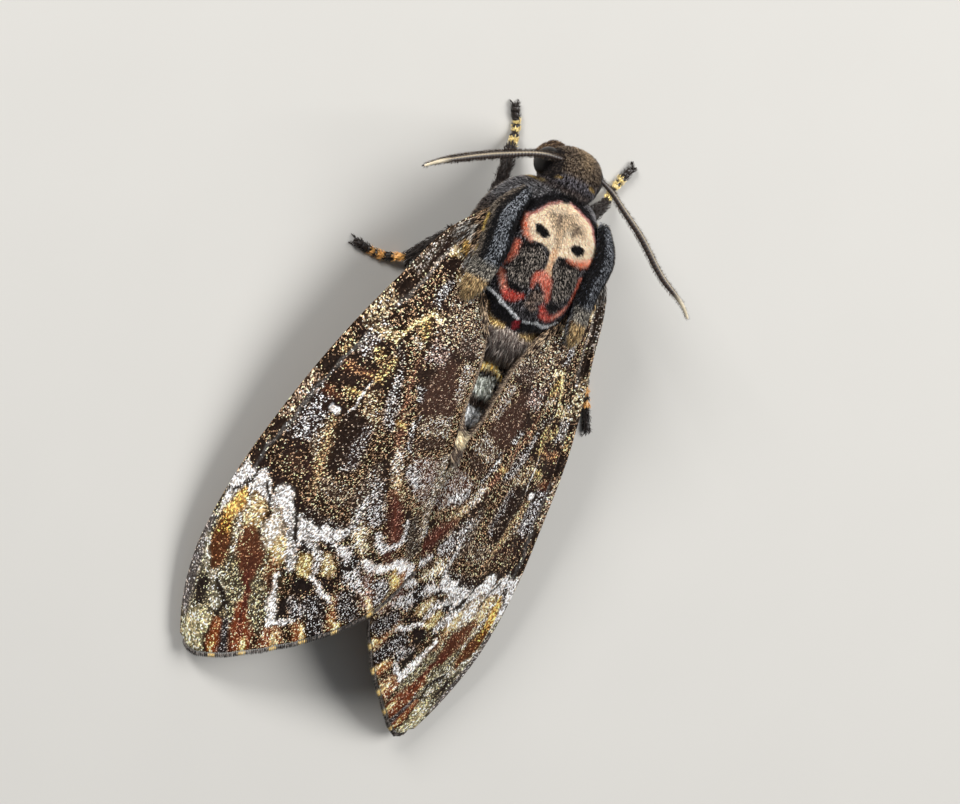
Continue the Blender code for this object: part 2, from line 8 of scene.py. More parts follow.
import bpy
import numpy as np
from mathutils import Matrix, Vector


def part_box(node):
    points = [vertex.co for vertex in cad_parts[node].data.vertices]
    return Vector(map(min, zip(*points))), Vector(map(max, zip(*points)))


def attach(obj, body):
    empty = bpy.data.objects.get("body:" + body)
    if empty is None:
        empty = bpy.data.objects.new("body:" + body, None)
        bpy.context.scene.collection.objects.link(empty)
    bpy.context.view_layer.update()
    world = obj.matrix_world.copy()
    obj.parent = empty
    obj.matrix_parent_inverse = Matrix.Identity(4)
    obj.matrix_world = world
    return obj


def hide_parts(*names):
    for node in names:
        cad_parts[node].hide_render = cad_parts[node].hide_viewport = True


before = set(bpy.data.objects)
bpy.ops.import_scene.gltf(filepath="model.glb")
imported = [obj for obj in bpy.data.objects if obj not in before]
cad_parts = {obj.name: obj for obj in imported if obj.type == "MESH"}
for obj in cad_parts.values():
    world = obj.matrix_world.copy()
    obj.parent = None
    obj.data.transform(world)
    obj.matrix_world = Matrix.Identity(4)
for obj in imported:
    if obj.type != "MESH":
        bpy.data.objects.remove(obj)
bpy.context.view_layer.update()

mm = 0.001
tiny = 1e-9  # keeps a length or a slope from being nought
farOff = 1e3
thoraxFront = -9.8  # where the thorax begins, which ties these axes to the frame
thoraxLow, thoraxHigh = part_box("thorax")
bodyShift = np.array(((thoraxLow.x + thoraxHigh.x) / 2, thoraxLow.y - thoraxFront * mm, 0.0))
sides = {"left": 1.0, "right": -1.0}


# Small tools: curves, noise, painted marks

def along(points, shares):  # a smooth curve through points, read at shares of its chord length
    knots = np.array(points, float)
    chord = np.linalg.norm(np.diff(knots, axis=0), axis=1)
    at = np.concatenate([[0.0], np.cumsum(chord)]) / chord.sum()
    slope = np.gradient(knots, at, axis=0, edge_order=1)
    shares = np.clip(np.asarray(shares, float), 0.0, 1.0)
    i = np.clip(np.searchsorted(at, shares, side="right") - 1, 0, len(at) - 2)
    span = (at[i + 1] - at[i])[..., None]
    u = (shares - at[i])[..., None] / span
    return ((2 * u**3 - 3 * u**2 + 1) * knots[i] + (u**3 - 2 * u**2 + u) * span * slope[i]
            + (3 * u**2 - 2 * u**3) * knots[i + 1] + (u**3 - u**2) * span * slope[i + 1])


def smooth(low, high, value):  # 0 below low, 1 above high, eased between; low may be the greater
    share = np.clip((np.asarray(value, float) - low) / (high - low), 0.0, 1.0)
    return share * share * (3 - 2 * share)


def unit(vectors):
    return vectors / np.maximum(np.linalg.norm(vectors, axis=-1, keepdims=True), tiny)


def heading(path, shares, step=0.02):  # the way a curve runs
    return unit(along(path, shares + step) - along(path, shares - step))


def cellHash(cells, seed):  # a steady random share for every whole-number cell, stirred with big odd numbers
    mask = 0xFFFFFFFF
    i, j, k = (cells[..., n].astype(np.int64) for n in range(3))
    mixed = ((i * 73856093) ^ (j * 19349663) ^ (k * 83492791) ^ (seed * 265443576)) & mask
    mixed = ((mixed ^ (mixed >> 13)) * 1274126177) & mask
    return ((mixed ^ (mixed >> 16)) & mask) / mask


def softNoise(points, cell, seed):  # smooth noise from 0 to 1, a bump every cell millimetres
    scaled = np.asarray(points, float) / cell
    base = np.floor(scaled)
    part = scaled - base
    part = part * part * (3 - 2 * part)
    total = 0.0
    for corner in itertools.product((0, 1), repeat=3):
        weight = np.prod(np.where(corner, part, 1 - part), axis=-1)
        total = total + weight * cellHash(base + corner, seed)
    return total


def hexLinear(code):  # an sRGB hex colour as linear light
    levels = np.array([int(code[n:n + 2], 16) for n in (1, 3, 5)]) / 255
    return np.where(levels <= 0.04045, levels / 12.92, ((levels + 0.055) / 1.055) ** 2.4)


def mixTint(dark, light, share):
    return hexLinear(dark) * (1 - share[:, None]) + hexLinear(light) * share[:, None]


def lineDistance(x, y, start, end):  # share along a straight line from start to end, and the distance from it
    ax, ay, bx, by = *start[:2], *end[:2]
    length = max((bx - ax) ** 2 + (by - ay) ** 2, tiny)
    share = np.clip(((x - ax) * (bx - ax) + (y - ay) * (by - ay)) / length, 0, 1)
    return share, np.hypot(x - ax - share * (bx - ax), y - ay - share * (by - ay))


def strokeDepth(x, y, path):  # how deep each point lies inside a brush stroke of (x, y, radius)
    deepest = np.full(x.shape, -farOff)
    for start, end in zip(path, path[1:]):
        share, away = lineDistance(x, y, start, end)
        deepest = np.maximum(deepest, start[2] + (end[2] - start[2]) * share - away)
    return deepest


def areaDepth(x, y, outline):  # how deep each point lies inside a closed outline of (x, y)
    nearest = np.full(x.shape, farOff)
    inside = np.zeros(x.shape, bool)
    for start, end in zip(outline, outline[1:] + outline[:1]):
        nearest = np.minimum(nearest, lineDistance(x, y, start, end)[1])
        (ax, ay), (bx, by) = start, end
        rise = by - ay if abs(by - ay) > tiny else tiny
        inside ^= ((ay > y) != (by > y)) & (x < (bx - ax) * (y - ay) / rise + ax)
    return np.where(inside, nearest, -nearest)


# Edges of marks are ragged: (millimetres between bumps, strength), for straying in x and in y
ragWaves = (((1.1, 1.0), (0.35, 0.6)), ((1.3, 1.0), (0.4, 0.5)))


def paint(x, y, base, marks, ragged, seed, units=(1.0, 1.0)):
    # base and marks say (ground, fleck, share of flecks, softness in mm, where); None keeps the fleck
    flat = np.stack([x * units[0], y * units[1], np.zeros_like(x)], -1)
    strayed = []
    for axis, waves in enumerate(ragWaves):
        first = seed + len(waves) * axis
        stray = sum(force * softNoise(flat, cell, first + n) for n, (cell, force) in enumerate(waves))
        strayed.append(flat[..., axis] + ragged * (stray - sum(force for cell, force in waves) / 2))
    x, y = strayed
    ground = np.broadcast_to(hexLinear(base[0]), (*x.shape, 3)).copy()
    fleck = np.broadcast_to(hexLinear(base[1]), (*x.shape, 3)).copy()
    share = np.full(x.shape, float(base[2]))
    for toGround, toFleck, toShare, soft, where in marks:
        scaled = [(p[0] * units[0], p[1] * units[1], *p[2:]) for p in where]
        depth = areaDepth(x, y, scaled) if len(where[0]) == 2 else strokeDepth(x, y, scaled)
        cover = smooth(-soft, soft, depth)
        ground += (hexLinear(toGround) - ground) * cover[..., None]
        if toFleck:
            fleck += (hexLinear(toFleck) - fleck) * cover[..., None]
        share += (toShare - share) * cover
    return ground, fleck, share


def evenColours(ground, fleck, share):  # the same ground and flecks all over a coat
    def colours(at):
        return (np.broadcast_to(hexLinear(ground), at.shape), np.broadcast_to(hexLinear(fleck), at.shape),
                np.full(len(at), share))
    return colours


# Making meshes from arrays

def makePiece(name, points, faces, material, nodes=(), data=None, loopUv=None):
    # points in the moth's millimetres; data holds named arrays of one, three or "tint" values for each point
    mesh = bpy.data.meshes.new(name)
    mesh.vertices.add(len(points))
    mesh.vertices.foreach_set("co", (points * mm + bodyShift).astype(np.float32).ravel())
    mesh.loops.add(faces.size)
    mesh.loops.foreach_set("vertex_index", faces.astype(np.int32).ravel())
    mesh.polygons.add(len(faces))
    mesh.polygons.foreach_set("loop_start", np.arange(0, faces.size, faces.shape[1], dtype=np.int32))
    mesh.update(calc_edges=True)
    for label, values in (data or {}).items():
        if values.ndim == 1:
            mesh.attributes.new(label, "FLOAT", "POINT").data.foreach_set("value", values.astype(np.float32))
        elif label == "scaleAt":
            store = mesh.attributes.new(label, "FLOAT_VECTOR", "POINT")
            store.data.foreach_set("vector", values.astype(np.float32).ravel())
        else:
            store = mesh.attributes.new(label, "FLOAT_COLOR", "POINT")
            rgba = np.concatenate([values, np.ones((len(values), 1))], 1)
            store.data.foreach_set("color", rgba.astype(np.float32).ravel())
    if loopUv is not None:
        mesh.uv_layers.new(name="OFBake").data.foreach_set("uv", loopUv.astype(np.float32).ravel())
    mesh.shade_smooth()
    mesh.materials.append(material)
    piece = bpy.data.objects.new(name, mesh)
    bpy.context.scene.collection.objects.link(piece)
    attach(piece, "root")
    if nodes:
        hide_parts(*nodes)
    print(f"{name}: {len(faces)} faces")


def gridFaces(rows, columns, closed=False):  # triangles over rows of points; closed ones run right round
    last = columns if closed else columns - 1
    r, c = np.meshgrid(np.arange(rows - 1), np.arange(last), indexing="ij")
    a, b = (r * columns + c).ravel(), (r * columns + (c + 1) % columns).ravel()
    d, e = a + columns, b + columns
    return np.concatenate([np.stack([a, b, e], 1), np.stack([a, e, d], 1)])


def surfaceNormals(points, faces):
    corners = points[faces]
    across = np.cross(corners[:, 1] - corners[:, 0], corners[:, 2] - corners[:, 0])
    total = np.zeros_like(points)
    for n in range(3):
        for axis in range(3):
            total[:, axis] += np.bincount(faces[:, n], across[:, axis], len(points))
    return unit(total)


def facingOut(points, faces):  # turns a closed surface's faces outwards
    a, b, c = (points[faces[:, n]] - points.mean(0) for n in range(3))
    return faces if np.einsum("ij,ij->i", a, np.cross(b, c)).sum() > 0 else faces[:, ::-1]


def joinShapes(shapes):  # several (points, faces, data) as one
    points = np.concatenate([shape[0] for shape in shapes])
    starts = np.cumsum([0] + [len(shape[0]) for shape in shapes])
    faces = np.concatenate([shape[1] + start for shape, start in zip(shapes, starts)])
    data = {label: np.concatenate([shape[2][label] for shape in shapes]) for label in shapes[0][2]}
    return points, faces, data


def closedTube(rows):  # rings of points with a cap at both ends
    rings, around = rows.shape[:2]
    ring = np.arange(around)
    after, last = (ring + 1) % around, (rings - 1) * around
    front = np.stack([np.full(around, rings * around), after, ring], 1)
    back = np.stack([np.full(around, rings * around + 1), last + ring, last + after], 1)
    points = np.concatenate([rows.reshape(-1, 3), rows[:1].mean(1), rows[-1:].mean(1)])
    return points, np.concatenate([gridFaces(rings, around, closed=True), front, back])


def ringsRound(centre, radius, aside, up, share, around):  # a closed tube with each point's share and angle
    angle = np.linspace(0, 2 * np.pi, around, endpoint=False)
    circle = np.cos(angle)[None, :, None] * up[:, None] + np.sin(angle)[None, :, None] * aside[:, None]
    points, faces = closedTube(centre[:, None] + radius[:, None, None] * circle)
    shares = np.concatenate([np.repeat(share, around), [0.0, 1.0]])
    angles = np.concatenate([np.tile(angle, len(share)), [0.0, 0.0]])
    return points, facingOut(points, faces), shares, angles


sweeping = {"closeRings": 30, "least": 0.002}  # fewer rings sit closer at the ends; least radius


def sweep(path, radii, rings, around, ends=0.04, oval=1.0, ripple=None):  # a closed tube along a smooth path
    few = rings < sweeping["closeRings"]
    share = (1 - np.cos(np.pi * np.arange(rings) / (rings - 1))) / 2 if few else np.linspace(0, 1, rings)
    ahead = heading(path, share, 0.01)
    aside = unit(np.cross(ahead, (0.0, 0.0, 1.0)))
    up = np.cross(aside, ahead)
    radius = np.interp(share, np.linspace(0, 1, len(radii)), radii)
    if ripple is not None:
        radius = radius * ripple(share)
    edge = np.clip(np.minimum(share, 1 - share) / ends, 0, 1)
    radius = radius * np.sqrt(1 - (1 - edge) ** 2) + sweeping["least"]
    return ringsRound(along(path, share), radius, aside, up * oval, share, around)


tubeMap = {"edge": 0.01, "wide": 0.94, "long": 0.97}  # a tube unrolled on its map


def tubeSpot(share, angle):  # a place on the unrolled tube: angle across, share along
    return np.stack([tubeMap["edge"] + tubeMap["wide"] * angle / (2 * np.pi),
                     tubeMap["edge"] + tubeMap["long"] * share], -1)


def closeSeam(uv, wide, back=0.0):  # faces over the seam of an unrolled shape run on past its end
    over = (uv[..., 0].max(1) - uv[..., 0].min(1)) > 0.4
    uv[over, :, 0] += np.where(uv[over, :, 0] < 0.5, wide, 0.0) - back
    return np.clip(uv, 0.0, 1.0).reshape(-1, 2)


def scatter(points, faces, count, seed, weigh=None):  # random roots over a surface, with their normals
    draw = np.random.default_rng(seed)
    corners = points[faces]
    across = np.cross(corners[:, 1] - corners[:, 0], corners[:, 2] - corners[:, 0])
    area = np.linalg.norm(across, axis=1)
    if weigh is not None:
        area = area * weigh(corners.mean(1), unit(across))
    which = np.searchsorted(np.cumsum(area) / area.sum(), draw.random(count))
    a, b = draw.random(count), draw.random(count)
    flip = a + b > 1
    a[flip], b[flip] = 1 - a[flip], 1 - b[flip]
    shares = np.stack([1 - a - b, a, b], 1)[..., None]
    normals = surfaceNormals(points, faces)
    return (corners[which] * shares).sum(1), unit((normals[faces[which]] * shares).sum(1)), draw


tuft = {  # a three-sided blade, pointed at both ends: root, left, right and ridge halfway, tip
    "faces": np.array(((1, 2, 0), (2, 3, 0), (3, 1, 0), (1, 4, 2), (2, 4, 3), (3, 4, 1))),
    "map": np.array(((0.0, -1.0), (-1.0, 0.1), (1.0, 0.1), (0.0, 0.3), (0.0, 1.0))),
    "patch": 0.0015,  # half the width of its patch on the map
    "tone": np.array((0.0, 0.7, 0.7, 0.8, 1.0)),  # how near each point's colour is to the tip's
    "ridge": 0.35,  # height of the ridge for a width of 1
    "sunk": 0.08,  # how deep the root sits in the skin
    "mostInPiece": 32000,
    "aboveFloor": 0.01,
}
growth = {  # how unevenly hair grows
    "scale": (0.75, 0.5), "width": (0.8, 0.4),  # least, then what chance adds
    "rise": 10, "rest": 7, "flatter": 0.6,  # degrees that both angles stray; how far laid hair is flattened
    "pale": (0.1, 0.45), "paleRoot": 0.9,  # pale hair is pale down to its root
}


def growTufts(roots, normals, lie, length, width, rise, rest, rootTint, tipTint, spots):
    # blades that leave the skin at angle rise and end at angle rest along the lie
    lie = unit(lie - normals * (lie * normals).sum(1, keepdims=True))
    aside = np.cross(lie, normals) * width[:, None] / 2
    step = length[:, None] / 2
    middle = roots + step * (lie * np.cos(rise)[:, None] + normals * np.sin(rise)[:, None])
    tip = middle + step * (lie * np.cos(rest)[:, None] + normals * np.sin(rest)[:, None])
    ridge = middle + normals * width[:, None] * tuft["ridge"]
    points = np.stack([roots - normals * tuft["sunk"], middle - aside, middle + aside, ridge, tip], 1)
    tone = tuft["tone"][None, :, None]
    tints = rootTint[:, None] * (1 - tone) + tipTint[:, None] * tone
    uv = spots[:, None] + tuft["map"][None] * tuft["patch"]
    return points, tints, uv[:, tuft["faces"].ravel()]


def pickTint(draw, ground, fleck, share, spread):  # each tuft is fleck or ground, a little lighter or darker
    chosen = np.where((draw.random(len(share)) < share)[:, None], fleck, ground)
    return chosen * (1 + spread * (draw.random(len(share)) * 2 - 1))[:, None]


def growCoat(name, roots, normals, draw, flow, look, colours, spots, material):
    # hair over a skin: flow is how it lies, colours(points) what it shows there, spots its places on the map
    count = len(roots)
    scale = look.get("scale", 1.0) * (growth["scale"][0] + growth["scale"][1] * draw.random(count))
    length = look["length"] * scale
    width = look["width"] * (growth["width"][0] + growth["width"][1] * draw.random(count))
    lie = unit(flow + look["stray"] * draw.normal(size=(count, 3)))
    flatter = 1 - growth["flatter"] * look.get("lay", 0.0)
    rise = np.radians((look["rise"] + growth["rise"] * draw.normal(size=count)) * flatter)
    rest = np.radians((look["rest"] + growth["rest"] * draw.normal(size=count)) * flatter)
    flat = unit(lie - normals * (lie * normals).sum(1, keepdims=True))
    lean = (rise + rest)[:, None] / 2
    reach = (length * look.get("readAt", 0.5))[:, None]
    shown = roots + (flat * np.cos(lean) + normals * np.sin(lean)) * reach
    tint = pickTint(draw, *colours(shown), look["spread"])
    pale = smooth(*growth["pale"], tint.mean(1))[:, None]
    rootTint = tint * (look["rootTone"] + (growth["paleRoot"] - look["rootTone"]) * pale)
    points, tints, uv = growTufts(roots, normals, lie, length, width, rise, rest, rootTint,
                                  tint * look["tipTone"], spots)
    points[..., 2] = np.maximum(points[..., 2], tuft["aboveFloor"])
    order = np.argsort(roots[:, 1], kind="stable")
    parts = np.array_split(order, max(1, math.ceil(count / tuft["mostInPiece"])))
    for n, part in enumerate(parts):
        label = name if len(parts) == 1 else f"{name}{n + 1}"
        starts = len(tuft["tone"]) * np.arange(len(part))
        faces = (tuft["faces"][None] + starts[:, None, None]).reshape(-1, 3)
        makePiece(label, points[part].reshape(-1, 3), faces, material,
                  data={"tint": tints[part].reshape(-1, 3)}, loopUv=uv[part].reshape(-1, 2))


# Node materials

def addNode(tree, kind, settings=None, inputs=None):  # one node; an input is a value or another node's output
    node = tree.nodes.new(kind)
    for name, value in (settings or {}).items():
        setattr(node, name, value)
    for name, value in (inputs or {}).items():
        if isinstance(value, bpy.types.NodeSocket):
            tree.links.new(value, node.inputs[name])
        else:
            node.inputs[name].default_value = value
    return node


def startMaterial(name):
    material = bpy.data.materials.new(name)
    material.use_nodes = True
    tree = material.node_tree
    return material, tree, tree.nodes["Principled BSDF"]


def setShader(shader, values):
    for name, value in values.items():
        shader.inputs[name].default_value = value


wingFinish = {
    "scaleWidth": 0.14,  # a real wing scale is 0.1 mm wide and 0.2 long, drawn wider so that it shows
    "scaleLength": 0.175,
    "scaleLift": 0.03,  # how far a scale's free end stands up
    "disorder": 0.9,  # rows of scales are far from straight
    "dot": ((0.45, 0.42), (0.97, 0.9)),  # share of pale scales, and how much of its cell each one then fills
    "cluster": (0.38, 1.0),  # pale scales gather in groups this many mm across; how strongly
    "clusterRange": (0.25, 0.75),
    "level": ((0.5, 1.35), (0.32, 3.6)),  # brightness of dark scales, and of pale ones, which is less even; the brightest pale ones go past white as painted glints
    "unevenness": 2.4,  # few scales are bright and most are dim
    "warmth": ("#ffeedc", "#fffaff"),  # pale scales run from honey to chalk
    "roughness": (0.7, 0.45),  # dark scales, then pale ones, which are ribbed and glitter
    "gloss": (0.05, 0.22),  # ribbed dark scales trap light, so hardly any of it leaves as a highlight
    "evenGloss": 0.1,  # where the two can't be told apart
    "bump": 0.7,
    "ior": 1.56,  # chitin
}


def wingScaleMaterial(name):
    # Overlapping chitin scales, laid dry like roof tiles: a matt ground that glitters grain by grain, the
    # glitter painted into the pale scales' colour as glints brighter than white
    finish = wingFinish
    material, tree, shader = startMaterial(name)
    place = addNode(tree, "ShaderNodeAttribute", {"attribute_name": "scaleAt"})
    laid = addNode(tree, "ShaderNodeMapping", {}, {
        "Vector": place.outputs["Vector"],
        "Scale": (1 / finish["scaleWidth"], 1 / finish["scaleLength"], 1.0),
    })
    cells = addNode(tree, "ShaderNodeTexVoronoi", {"voronoi_dimensions": "2D"}, {
        "Vector": laid.outputs["Vector"], "Scale": 1.0, "Randomness": finish["disorder"]})
    random = addNode(tree, "ShaderNodeSeparateColor", {}, {"Color": cells.outputs["Color"]})
    share = addNode(tree, "ShaderNodeAttribute", {"attribute_name": "share"})
    patchSize, patchForce = finish["cluster"]
    patches = addNode(tree, "ShaderNodeTexNoise", {"noise_dimensions": "2D"}, {
        "Vector": place.outputs["Vector"], "Scale": 1 / patchSize, "Detail": 1.0})
    drift = addNode(tree, "ShaderNodeMapRange", {}, {
        "Value": patches.outputs["Fac"], "From Min": finish["clusterRange"][0],
        "From Max": finish["clusterRange"][1], "To Min": -patchForce, "To Max": patchForce})
    rest = addNode(tree, "ShaderNodeMath", {"operation": "SUBTRACT"}, {0: 1.0, 1: share.outputs["Fac"]})
    room = addNode(tree, "ShaderNodeMath", {"operation": "MULTIPLY"}, {
        0: share.outputs["Fac"], 1: rest.outputs[0]})
    patchy = addNode(tree, "ShaderNodeMath", {"operation": "MULTIPLY_ADD"}, {
        0: drift.outputs["Result"], 1: room.outputs[0], 2: share.outputs["Fac"]})
    isPale = addNode(tree, "ShaderNodeMath", {"operation": "GREATER_THAN"}, {
        0: patchy.outputs[0], 1: random.outputs["Red"]})
    (few, small), (many, large) = finish["dot"]
    reach = addNode(tree, "ShaderNodeMapRange", {}, {
        "Value": patchy.outputs[0], "From Min": few, "From Max": many, "To Min": small, "To Max": large})
    inDot = addNode(tree, "ShaderNodeMath", {"operation": "LESS_THAN"}, {
        0: cells.outputs["Distance"], 1: reach.outputs["Result"]})
    isFleck = addNode(tree, "ShaderNodeMath", {"operation": "MULTIPLY"}, {
        0: isPale.outputs[0], 1: inDot.outputs[0]})
    ground = addNode(tree, "ShaderNodeAttribute", {"attribute_name": "ground"})
    fleck = addNode(tree, "ShaderNodeAttribute", {"attribute_name": "fleck"})
    chosen = addNode(tree, "ShaderNodeMix", {"data_type": "RGBA"}, {
        "Factor": isFleck.outputs[0], "A": ground.outputs["Color"], "B": fleck.outputs["Color"]})
    # pale scales get up to 3.6 times their colour, past white: painted glints standing in for sparkle
    lows, highs = zip(*finish["level"])
    lowest, topLevelWithPaintedGlint = (addNode(tree, "ShaderNodeMapRange", {}, {
        "Value": isFleck.outputs[0], "To Min": ends[0], "To Max": ends[1]}) for ends in (lows, highs))
    uneven = addNode(tree, "ShaderNodeMath", {"operation": "POWER"}, {
        0: random.outputs["Green"], 1: finish["unevenness"]})
    level = addNode(tree, "ShaderNodeMapRange", {}, {
        "Value": uneven.outputs[0], "To Min": lowest.outputs["Result"], "To Max": topLevelWithPaintedGlint.outputs["Result"]})
    varied = addNode(tree, "ShaderNodeMix", {"data_type": "RGBA", "blend_type": "MULTIPLY"}, {
        "Factor": 1.0, "A": chosen.outputs["Result"], "B": level.outputs["Result"]})
    honey, chalk = ((*hexLinear(code), 1) for code in finish["warmth"])
    warmth = addNode(tree, "ShaderNodeMix", {"data_type": "RGBA"}, {
        "Factor": random.outputs["Blue"], "A": honey, "B": chalk})
    times = {"data_type": "RGBA", "blend_type": "MULTIPLY", "clamp_result": True}
    # colour past white is clamped to white, so the painted glints show as white specks
    warmed = addNode(tree, "ShaderNodeMix", times, {
        "Factor": isFleck.outputs[0], "A": varied.outputs["Result"], "B": warmth.outputs["Result"]})
    tree.links.new(warmed.outputs["Result"], shader.inputs["Base Color"])
    for socket, (dark, pale) in (("Specular IOR Level", finish["gloss"]), ("Roughness", finish["roughness"])):
        either = addNode(tree, "ShaderNodeMapRange", {}, {
            "Value": isFleck.outputs[0], "To Min": dark, "To Max": pale})
        tree.links.new(either.outputs["Result"], shader.inputs[socket])
    height = addNode(tree, "ShaderNodeMath", {"operation": "ADD"}, {
        0: cells.outputs["Distance"], 1: random.outputs["Blue"]})
    bump = addNode(tree, "ShaderNodeBump", {}, {
        "Height": height.outputs[0], "Distance": finish["scaleLift"] * mm, "Strength": finish["bump"]})
    tree.links.new(bump.outputs["Normal"], shader.inputs["Normal"])
    setShader(shader, {"IOR": finish["ior"], "Metallic": 0.0, "Specular IOR Level": finish["evenGloss"]})
    return material


def ownTint(tree, shader, pattern, low, high):  # the colour that a piece carries, made uneven by a pattern
    tint = addNode(tree, "ShaderNodeAttribute", {"attribute_name": "tint"})
    level = addNode(tree, "ShaderNodeMapRange", {}, {"Value": pattern, "To Min": low, "To Max": high})
    varied = addNode(tree, "ShaderNodeMix", {"data_type": "RGBA", "blend_type": "MULTIPLY"}, {
        "Factor": 1.0, "A": tint.outputs["Color"], "B": level.outputs["Result"]})
    tree.links.new(varied.outputs["Result"], shader.inputs["Base Color"])


hairFinish = {  # grain is the millimetres between lighter and darker hair, uneven by this much
    "thoraxPlushHair": {"roughness": 0.6, "sheen": 0.08, "grain": 1.4},
    "abdomenScaleHair": {"roughness": 0.5, "sheen": 0.06, "grain": 1.0},
    "legScaleHair": {"roughness": 0.55, "sheen": 0.05, "grain": 0.8},
    "uneven": (0.78, 1.22), "sheenRoughness": 0.45, "gloss": 0.15, "ior": 1.55,
}


def hairMaterial(name):
    # Chitin hair: dull along its length with a soft rim of light at the tips; colour is carried by each tuft
    finish = hairFinish[name]
    material, tree, shader = startMaterial(name)
    place = addNode(tree, "ShaderNodeTexCoord")
    mottle = addNode(tree, "ShaderNodeTexNoise", {}, {
        "Vector": place.outputs["Object"], "Scale": 1 / (finish["grain"] * mm), "Detail": 2.0})
    ownTint(tree, shader, mottle.outputs["Fac"], *hairFinish["uneven"])
    setShader(shader, {"Roughness": finish["roughness"], "IOR": hairFinish["ior"], "Metallic": 0.0,
                       "Sheen Weight": finish["sheen"], "Sheen Roughness": hairFinish["sheenRoughness"],
                       "Specular IOR Level": hairFinish["gloss"]})
    return material


cuticleFinish = {  # pits are this many millimetres apart and deep, and darker than what lies between them
    "bodyCuticle": {"roughness": 0.6, "coat": 0.0, "pit": 0.25, "depth": 0.03},
    "feelerCuticle": {"roughness": 0.42, "coat": 0.15, "pit": 0.12, "depth": 0.012},
    "legCuticle": {"roughness": 0.45, "coat": 0.12, "pit": 0.14, "depth": 0.015},
    "uneven": (1.1, 0.75), "bump": 0.6, "coatRoughness": 0.2, "ior": 1.56,
}


def cuticleMaterial(name):
    # Bare chitin, hard and waxy: a tight highlight over fine pits
    finish = cuticleFinish[name]
    material, tree, shader = startMaterial(name)
    place = addNode(tree, "ShaderNodeTexCoord")
    pits = addNode(tree, "ShaderNodeTexVoronoi", {}, {
        "Vector": place.outputs["Object"], "Scale": 1 / (finish["pit"] * mm)})
    ownTint(tree, shader, pits.outputs["Distance"], *cuticleFinish["uneven"])
    bump = addNode(tree, "ShaderNodeBump", {}, {
        "Height": pits.outputs["Distance"], "Distance": finish["depth"] * mm,
        "Strength": cuticleFinish["bump"]})
    tree.links.new(bump.outputs["Normal"], shader.inputs["Normal"])
    setShader(shader, {"Roughness": finish["roughness"], "IOR": cuticleFinish["ior"], "Metallic": 0.0,
                       "Coat Weight": finish["coat"], "Coat Roughness": cuticleFinish["coatRoughness"]})
    return material


materials = {
    "forewing": wingScaleMaterial("forewingTileScales"),
    "hindwing": wingScaleMaterial("hindwingTileScales"),
    "plush": hairMaterial("thoraxPlushHair"),
    "scaleHair": hairMaterial("abdomenScaleHair"),
    "legHair": hairMaterial("legScaleHair"),
    "underSkin": cuticleMaterial("bodyCuticle"),
    "horn": cuticleMaterial("feelerCuticle"),
    "leg": cuticleMaterial("legCuticle"),
}

# The camera looks down on the back from the moth's left, as the photo does; it and the lights come first

view = {
    "lens": 200.0, "sensor": 36.0, "distance": 620.0,
    "clip": (0.01, 10.0),  # metres
    "target": (-3.9, 17.2, 6.4),
    "leftHand": (0.866, 0.0, -0.5),  # the moth's left side, tipped down towards the picture
    "ahead": (0.0, -1.0, 0.0),
    "turn": (0.911, 0.412),  # how the body lies in the picture
}
viewMiddle = np.array(view["target"]) * mm + bodyShift


def addStanding(name, data, right, up, back, place):  # a camera or a light, which looks away from back
    standing = bpy.data.objects.new(name, data)
    bpy.context.scene.collection.objects.link(standing)
    matrix = np.eye(4)
    matrix[:3] = np.stack([right, up, back, place], 1)
    standing.matrix_world = Matrix(matrix.tolist())
    return standing


def addCamera():
    leftHand, ahead = np.array(view["leftHand"]), np.array(view["ahead"])
    right = unit(-view["turn"][0] * leftHand + view["turn"][1] * ahead)
    up = unit(view["turn"][1] * leftHand + view["turn"][0] * ahead)
    back = np.cross(right, up)
    data = bpy.data.cameras.new("photoCamera")
    data.lens, data.sensor_width = view["lens"], view["sensor"]
    data.clip_start, data.clip_end = view["clip"]
    place = viewMiddle + back * view["distance"] * mm
    bpy.context.scene.camera = addStanding("photoCamera", data, right, up, back, place)
    return right, up, back


studio = {
    "floor": "#c9c6c0", "floorSize": 4.0, "floorRoughness": 0.9,
    "mottle": (60.0, 0.97),  # scale, and the darkest share of the floor's colour
    "lights": (  # place by right, up and back of the camera in metres, size, watts
        ("keyLight", (-0.16, 0.36, 0.55), 0.22, 3.9),
        ("fillLight", (0.62, 0.02, 0.30), 0.5, 5.0),
        ("rimLight", (0.1, 0.75, 0.1), 0.4, 2.0),
    ),
    "sky": ("#dfe6ee", 0.20),
}


def addFloor():
    half = studio["floorSize"] / 2
    mesh = bpy.data.meshes.new("floor")
    corners = [(-half, -half, 0), (half, -half, 0), (half, half, 0), (-half, half, 0)]
    mesh.from_pydata(corners, [], [(0, 1, 2, 3)])
    material, tree, shader = startMaterial("mattPlasterFloor")  # a dry, even matt that takes soft shadows
    scale, darkest = studio["mottle"]
    place = addNode(tree, "ShaderNodeTexCoord")
    mottle = addNode(tree, "ShaderNodeTexNoise", {}, {"Vector": place.outputs["Object"], "Scale": scale})
    tone = addNode(tree, "ShaderNodeMix", {"data_type": "RGBA"}, {
        "Factor": mottle.outputs["Fac"], "A": (*hexLinear(studio["floor"]) * darkest, 1),
        "B": (*hexLinear(studio["floor"]), 1)})
    tree.links.new(tone.outputs["Result"], shader.inputs["Base Color"])
    setShader(shader, {"Roughness": studio["floorRoughness"]})
    mesh.materials.append(material)
    floor = bpy.data.objects.new("floor", mesh)
    bpy.context.scene.collection.objects.link(floor)


